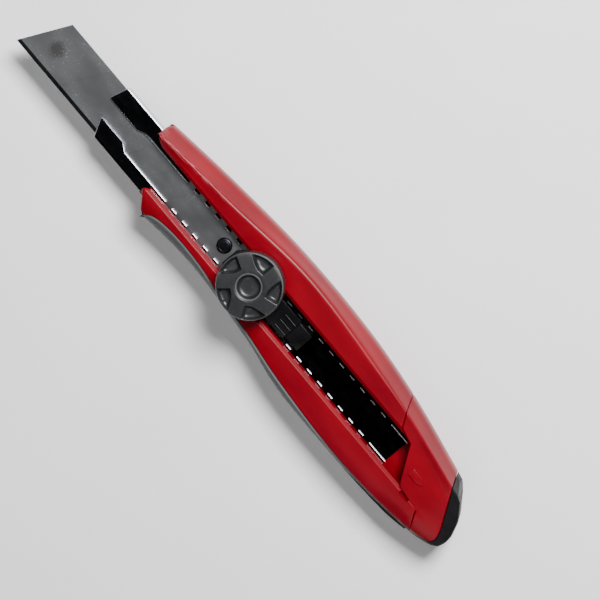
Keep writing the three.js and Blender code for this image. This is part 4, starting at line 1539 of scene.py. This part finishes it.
def dished_plug():
    low, high = PLUG_LOW[2], PLUG_HIGH[2]
    radius = (PLUG_HIGH[0] - PLUG_LOW[0]) / 2
    floor = low + 0.5
    profile = [
        (0.001, low),
        (radius, low),
        (radius + 0.06, high - 0.3),
        (radius + 0.06, high),
        (radius - 0.3, high - 0.02),
        (radius - 0.75, high - 0.5),
        (radius - 1.1, floor + 0.5),
        (radius - 1.7, floor + 0.12),
        (radius - 2.4, floor),
        (1.0, floor),
        (0.3, floor),
        (0.001, floor),
    ]
    plug = turned("plug", lathe_curve(profile), (0, 0))
    point = [(0.001, -0.1), (0.22, -0.1), (0.2, 0.05), (0.1, 0.1), (0.001, 0.1)]
    nub = turned("moulding point", [(r, floor + z) for r, z in point], (-0.7, -0.7), 16)
    piece = join("dished_plug", [plug, nub])
    # Painted highlight: the plug's top, its lip round the dish, is made paler all round.
    paint(piece, "wear_and_highlight", lambda p: 0.3 * (p[:, 2] > high - 0.3))
    return piece


def domed_pin():
    middle = (PIN_LOW + PIN_HIGH) / 2
    radius = (PIN_HIGH[0] - PIN_LOW[0]) / 2
    top = PIN_HIGH[2]
    under = BLADE_LOW[2] - 0.1
    profile = [
        (0.001, PIN_LOW[2]),
        (1.3, PIN_LOW[2]),
        (1.5, PIN_LOW[2] + 0.2),
        (1.5, under),
        (radius - 0.05, under),
        (radius, under + 0.1),
        (radius, top - 0.55),
        (radius - 0.12, top - 0.3),
        (radius - 0.5, top - 0.1),
        (radius - 0.78, top - 0.06),
        (radius - 0.9, top - 0.14),
        (radius - 1.02, top - 0.05),
        (1.0, top),
        (0.001, top),
    ]
    return turned("domed_pin", lathe_curve(profile), middle, 64)


def ribbed_slider(material):
    """The thumb slider: neck, low step and the pad under the wheel, with ribs laid on by nodes."""
    low, high = SADDLE_LOW, SADDLE_HIGH
    neck_rear, neck_front = low[0] + 6.3, 12.0
    neck_top = LIP_TOP + 1.6
    half = 4.35
    neck = [
        (neck_rear, LIP_OFFSET - half),
        (neck_front - 1.2, LIP_OFFSET - half),
        (neck_front, LIP_OFFSET - half + 1.2),
        (neck_front, LIP_OFFSET + half - 1.2),
        (neck_front - 1.2, LIP_OFFSET + half),
        (neck_rear, LIP_OFFSET + half),
    ]
    step = [
        (low[0], LIP_OFFSET - 3.4),
        (neck_rear + 0.5, LIP_OFFSET - 3.4),
        (neck_rear + 0.5, LIP_OFFSET + 3.6),
        (low[0], LIP_OFFSET + 3.6),
    ]
    pad = [(-9, -5.8), (9, -5.8), (9, 5.8), (-9, 5.8)]
    parts = [
        solid_between("neck", neck, BLADE_HIGH[2], neck_top, 0.18),
        solid_between("step", step, BLADE_HIGH[2], LIP_TOP + 0.3, 0.12),
        solid_between("pad", pad, LIP_TOP + 0.1, high[2], 0.35),
    ]
    piece = join("ribbed_slider", parts)
    looks = bpy.context.scene.knife_looks
    count = looks.thumb_ribs
    pitch, length, radius = 2.4 * MM, 5.1 * MM, 0.3 * MM
    middle = (LIP_OFFSET + 0.6) * MM
    values = {
        "Count": count,
        "First": [(neck_rear + 0.2) * MM, middle - pitch * (count - 1) / 2, neck_top * MM],
        "Step": [0, pitch, 0],
        "Length": [length, 0, 0],
        "Radius": radius,
        "Material": material,
    }
    grow(piece, rib_tree(), values)
    return tidy_mesh(piece)


def shell_screws(material):
    low, high = node_box("shell_screw_1")
    head = (high[0] - low[0]) / 2
    profile = [
        (0.001, low[2]),
        (0.7 * head, low[2]),
        (head - 0.15, low[2] + 0.2),
        (head, low[2] + 0.6),
        (head, low[2] + 1.8),
        (1.3, low[2] + 1.8),
        (1.3, high[2] - 1.6),
        (0.6, high[2]),
        (0.001, high[2]),
    ]
    screw = turned("shell_screws", lathe_curve(profile), (0, 0), 48)
    arm, half, floor = 0.35 * 2 * head, 0.4, low[2] + 0.9
    cross = [
        (-arm, -half), (-half, -half), (-half, -arm), (half, -arm), (half, -half), (arm, -half),
        (arm, half), (half, half), (half, arm), (-half, arm), (-half, half), (-arm, half),
    ]
    carve(screw, solid_between("cross", cross, low[2] - 1, floor))
    spots = [box_middle(f"shell_screw_{i}")[:2] * MM for i in range(1, 5)]
    spine_first, spine_last, belly_first, belly_last = [[*map(float, s), 0.0] for s in spots]
    values = {
        "Spine first": spine_first,
        "Spine step": [b - a for a, b in zip(spine_first, spine_last)],
        "Belly first": belly_first,
        "Belly step": [b - a for a, b in zip(belly_first, belly_last)],
        "Material": material,
    }
    return tidy_mesh(grow(screw, screw_tree(), values))


# ------------------------------------------------------------------ settings and operators


class KnifeLooks(bpy.types.PropertyGroup):
    """Sizes and colours that a user of the knife would change."""

    red: FloatVectorProperty(
        name="Moulding colour",
        description="Colour of the red shells and the tail cap",
        default=linear("#7e0014"),
        size=4,
        min=0,
        max=1,
        subtype="COLOR",
    )
    tooth_pitch: FloatProperty(
        name="Tooth pitch",
        description="Distance between two notches of the channel's lips",
        default=TOOTH_PITCH * MM,
        min=0.004,
        max=0.008,
        unit="LENGTH",
    )
    thumb_ribs: IntProperty(
        name="Thumb ribs",
        description="Number of ribs on the slider behind the wheel",
        default=3,
        min=1,
        max=3,
    )
    camera_distance: FloatProperty(
        name="Camera distance",
        description="Distance from the camera to the blade's face",
        default=0.8,
        min=0.2,
        max=2,
        unit="LENGTH",
    )
    key_light: FloatProperty(
        name="Key light",
        description="Power of the soft light on the spine side, which the other two follow",
        default=18.0,
        min=0,
        max=100,
        unit="POWER",
    )


MATERIALS = {}


def finish_of(name, maker):
    """The finish of that name, made the first time that it is asked for."""
    if name not in MATERIALS:
        MATERIALS[name] = maker()
    return MATERIALS[name]


class KNIFE_OT_front(bpy.types.Operator):
    """Build the red front moulding with its two rails and its spigot"""

    bl_idname = "knife.front"
    bl_label = "Front moulding"

    def execute(self, context):
        red = finish_of("red", moulded_red)
        dress(front_moulding(), "handle", "red_abs", red, "front_shell")
        return {"FINISHED"}


class KNIFE_OT_back(bpy.types.Operator):
    """Build the red back moulding with its four screw seats"""

    bl_idname = "knife.back"
    bl_label = "Back moulding"

    def execute(self, context):
        red = finish_of("red", moulded_red)
        dress(back_moulding(), "handle", "red_abs", red, "back_shell")
        return {"FINISHED"}


class KNIFE_OT_grip(bpy.types.Operator):
    """Build the rubber strip along the finger side"""

    bl_idname = "knife.grip"
    bl_label = "Rubber grip"

    def execute(self, context):
        dress(rubber_grip(), "handle", "grip_rubber", grip_rubber(), "belly_grip")
        return {"FINISHED"}


class KNIFE_OT_tail(bpy.types.Operator):
    """Build the pull-off tail cap and the rubber pad round its end"""

    bl_idname = "knife.tail"
    bl_label = "Tail cap and pad"

    def execute(self, context):
        red = finish_of("red", moulded_red)
        dress(cap_moulding(), "tail", "red_abs", red, "tail_cap")
        dress(bumper_pad(), "tail", "black_rubber", bumper_rubber(), "tail_bumper")
        return {"FINISHED"}


class KNIFE_OT_channel(bpy.types.Operator):
    """Build the bent steel channel and notch its lips"""

    bl_idname = "knife.channel"
    bl_label = "Steel channel"

    def execute(self, context):
        steel = channel_steel()
        dress(steel_channel(steel), "handle", "polished_stainless", steel, "blade_channel")
        return {"FINISHED"}


class KNIFE_OT_blade(bpy.types.Operator):
    """Finish the snap-off blade and build the pin that holds it"""

    bl_idname = "knife.blade"
    bl_label = "Blade and pin"

    def execute(self, context):
        refinish("blade", blade_steel())
        black = worked_metal("Blackened steel", "#1d1d20", "#2c2c31", 0.3, 2)
        dress(domed_pin(), "slider", "black_steel", black, "blade_pin")
        return {"FINISHED"}


class KNIFE_OT_slider(bpy.types.Operator):
    """Build the ribbed slider and finish the plate that carries the blade"""

    bl_idname = "knife.slider"
    bl_label = "Slider"

    def execute(self, context):
        nylon = finish_of("nylon", slider_nylon)
        dress(ribbed_slider(nylon), "slider", "black_nylon", nylon, "slider_saddle")
        refinish("blade_carrier", nylon)
        return {"FINISHED"}


class KNIFE_OT_wheel(bpy.types.Operator):
    """Build the lock wheel with its pockets and the dished plug at its centre"""

    bl_idname = "knife.wheel"
    bl_label = "Lock wheel"

    def execute(self, context):
        grey = finish_of("wheel", wheel_nylon)
        dress(pocketed_wheel(), "wheel", "wheel_nylon", grey, "lock_wheel")
        dress(dished_plug(), "wheel", "wheel_nylon", grey, "wheel_cap")
        return {"FINISHED"}


class KNIFE_OT_clamp(bpy.types.Operator):
    """Finish the small metal parts inside the slider and the wheel"""

    bl_idname = "knife.clamp"
    bl_label = "Clamp parts"

    def execute(self, context):
        plated = worked_metal("Zinc-plated steel", "#a9adb3", "#c6cad0", 0.25, 1.2)
        refinish("clamp_stud", plated)
        refinish("thrust_washer", plated)
        spring = worked_metal("Spring stainless", "#9b9da1", "#b4b6ba", 0.2, 0.8)
        refinish("click_spring", spring)
        ring = worked_metal("Oiled black steel", "#1b1c1f", "#2c2d31", 0.35, 1)
        refinish("stop_ring", ring)
        refinish("wheel_insert", worked_metal("Turned brass", "#b8913f", "#d0aa58", 0.22, 1.5))
        return {"FINISHED"}


class KNIFE_OT_screws(bpy.types.Operator):
    """Build the four screws that hold the shells together"""

    bl_idname = "knife.screws"
    bl_label = "Shell screws"

    def execute(self, context):
        plated = worked_metal("Nickel-plated screws", "#8f9196", "#b0b2b6", 0.25, 1)
        nodes = [f"shell_screw_{i}" for i in range(1, 5)]
        dress(shell_screws(plated), "handle", "plated_steel", plated, *nodes)
        return {"FINISHED"}


def soft_light(name, power, size, place, aim):
    """A square area light that points from one place to another."""
    lamp = bpy.data.lights.new(name, "AREA")
    lamp.energy = power
    lamp.size = size
    obj = new_object(name, lamp)
    obj.location = place
    obj.rotation_euler = (Vector(aim) - Vector(place)).to_track_quat("-Z", "Y").to_euler()


CAMERA_AIM = (-14.4, -7.8, 11.5)
CAMERA_LEAN = (-1.25, 11.75)  # degrees from straight overhead, along and across the knife
CAMERA_ROLL = -130.14  # degrees about the line of sight
CAMERA_LENS = 143.2
LIGHTS = (
    # name, share of the key light's power, size in metres, place
    ("key light", 1, 0.3, (0.1, -0.55, 0.66)),
    ("fill light", 0.12, 0.6, (-0.5, 0.5, 0.7)),
    ("top light", 0.1, 0.8, (0.5, 0.2, 0.9)),
)


class KNIFE_OT_stage(bpy.types.Operator):
    """Lay the floor, set the soft lights and place the camera"""

    bl_idname = "knife.stage"
    bl_label = "Stage"

    def execute(self, context):
        looks = context.scene.knife_looks
        reach, height = 1.5, -0.0002
        corners = [(-reach, -reach), (reach, -reach), (reach, reach), (-reach, reach)]
        mesh = bpy.data.meshes.new("studio_floor")
        mesh.from_pydata([(x, y, height) for x, y in corners], [], [(0, 1, 2, 3)])
        mesh.materials.append(studio_floor())
        new_object("studio_floor", mesh)

        aim = Vector(CAMERA_AIM) * MM
        along, aside = (math.tan(math.radians(angle)) for angle in CAMERA_LEAN)
        tilt = Vector((-along, -aside, 1)).normalized()
        forward = Vector((1, 0, 0))
        across = (forward - tilt * forward.dot(tilt)).normalized()
        right = Matrix.Rotation(math.radians(CAMERA_ROLL), 3, tilt) @ across
        up = tilt.cross(right)
        camera = bpy.data.cameras.new("camera")
        camera.lens = CAMERA_LENS
        camera.sensor_width = 36
        obj = new_object("camera", camera)
        turn = Matrix((right, up, tilt)).transposed().to_4x4()
        obj.matrix_world = Matrix.Translation(aim + tilt * looks.camera_distance) @ turn
        context.scene.camera = obj

        for name, share, size, place in LIGHTS:
            soft_light(name, looks.key_light * share, size, place, (0, 0, 0.01))
        world = bpy.data.worlds.new("studio")
        world.use_nodes = True
        tree = world.node_tree
        tree.nodes.clear()
        way = add_node(tree, "ShaderNodeTexCoord").outputs["Generated"]
        height = add_node(tree, "ShaderNodeSeparateXYZ", {0: way}).outputs[2]
        level = ramp(tree, height, 0.3, 0.85, 0, 1)
        colour = blend_colours(tree, level, "#f6f7fa", "#08080a")
        back = add_node(tree, "ShaderNodeBackground", {"Color": colour}, Strength=0.12)
        add_node(tree, "ShaderNodeOutputWorld", {"Surface": back.outputs[0]})
        context.scene.world = world
        return {"FINISHED"}


class KNIFE_PT_panel(bpy.types.Panel):
    """Lists the knife's settings and the steps that build it"""

    bl_idname = "KNIFE_PT_panel"
    bl_label = "Utility knife"
    bl_space_type = "VIEW_3D"
    bl_region_type = "UI"
    bl_category = "Knife"

    def draw(self, context):
        looks = context.scene.knife_looks
        for name in KnifeLooks.__annotations__:
            self.layout.prop(looks, name)
        for step in STEPS:
            self.layout.operator(step.bl_idname)


STEPS = (
    KNIFE_OT_stage,
    KNIFE_OT_front,
    KNIFE_OT_back,
    KNIFE_OT_grip,
    KNIFE_OT_tail,
    KNIFE_OT_channel,
    KNIFE_OT_blade,
    KNIFE_OT_slider,
    KNIFE_OT_wheel,
    KNIFE_OT_clamp,
    KNIFE_OT_screws,
)
CLASSES = (KnifeLooks, *STEPS, KNIFE_PT_panel)


def register():
    for item in CLASSES:
        bpy.utils.register_class(item)
    bpy.types.Scene.knife_looks = PointerProperty(type=KnifeLooks)


def unregister():
    del bpy.types.Scene.knife_looks
    for item in reversed(CLASSES):
        bpy.utils.unregister_class(item)


def plain(box):
    """A box as plain lists of numbers."""
    return [[float(v) for v in corner] for corner in box]


def main():
    register()
    for step in STEPS:
        group, name = step.bl_idname.split(".")
        getattr(getattr(bpy.ops, group), name)()


if __name__ == "__main__":
    main()
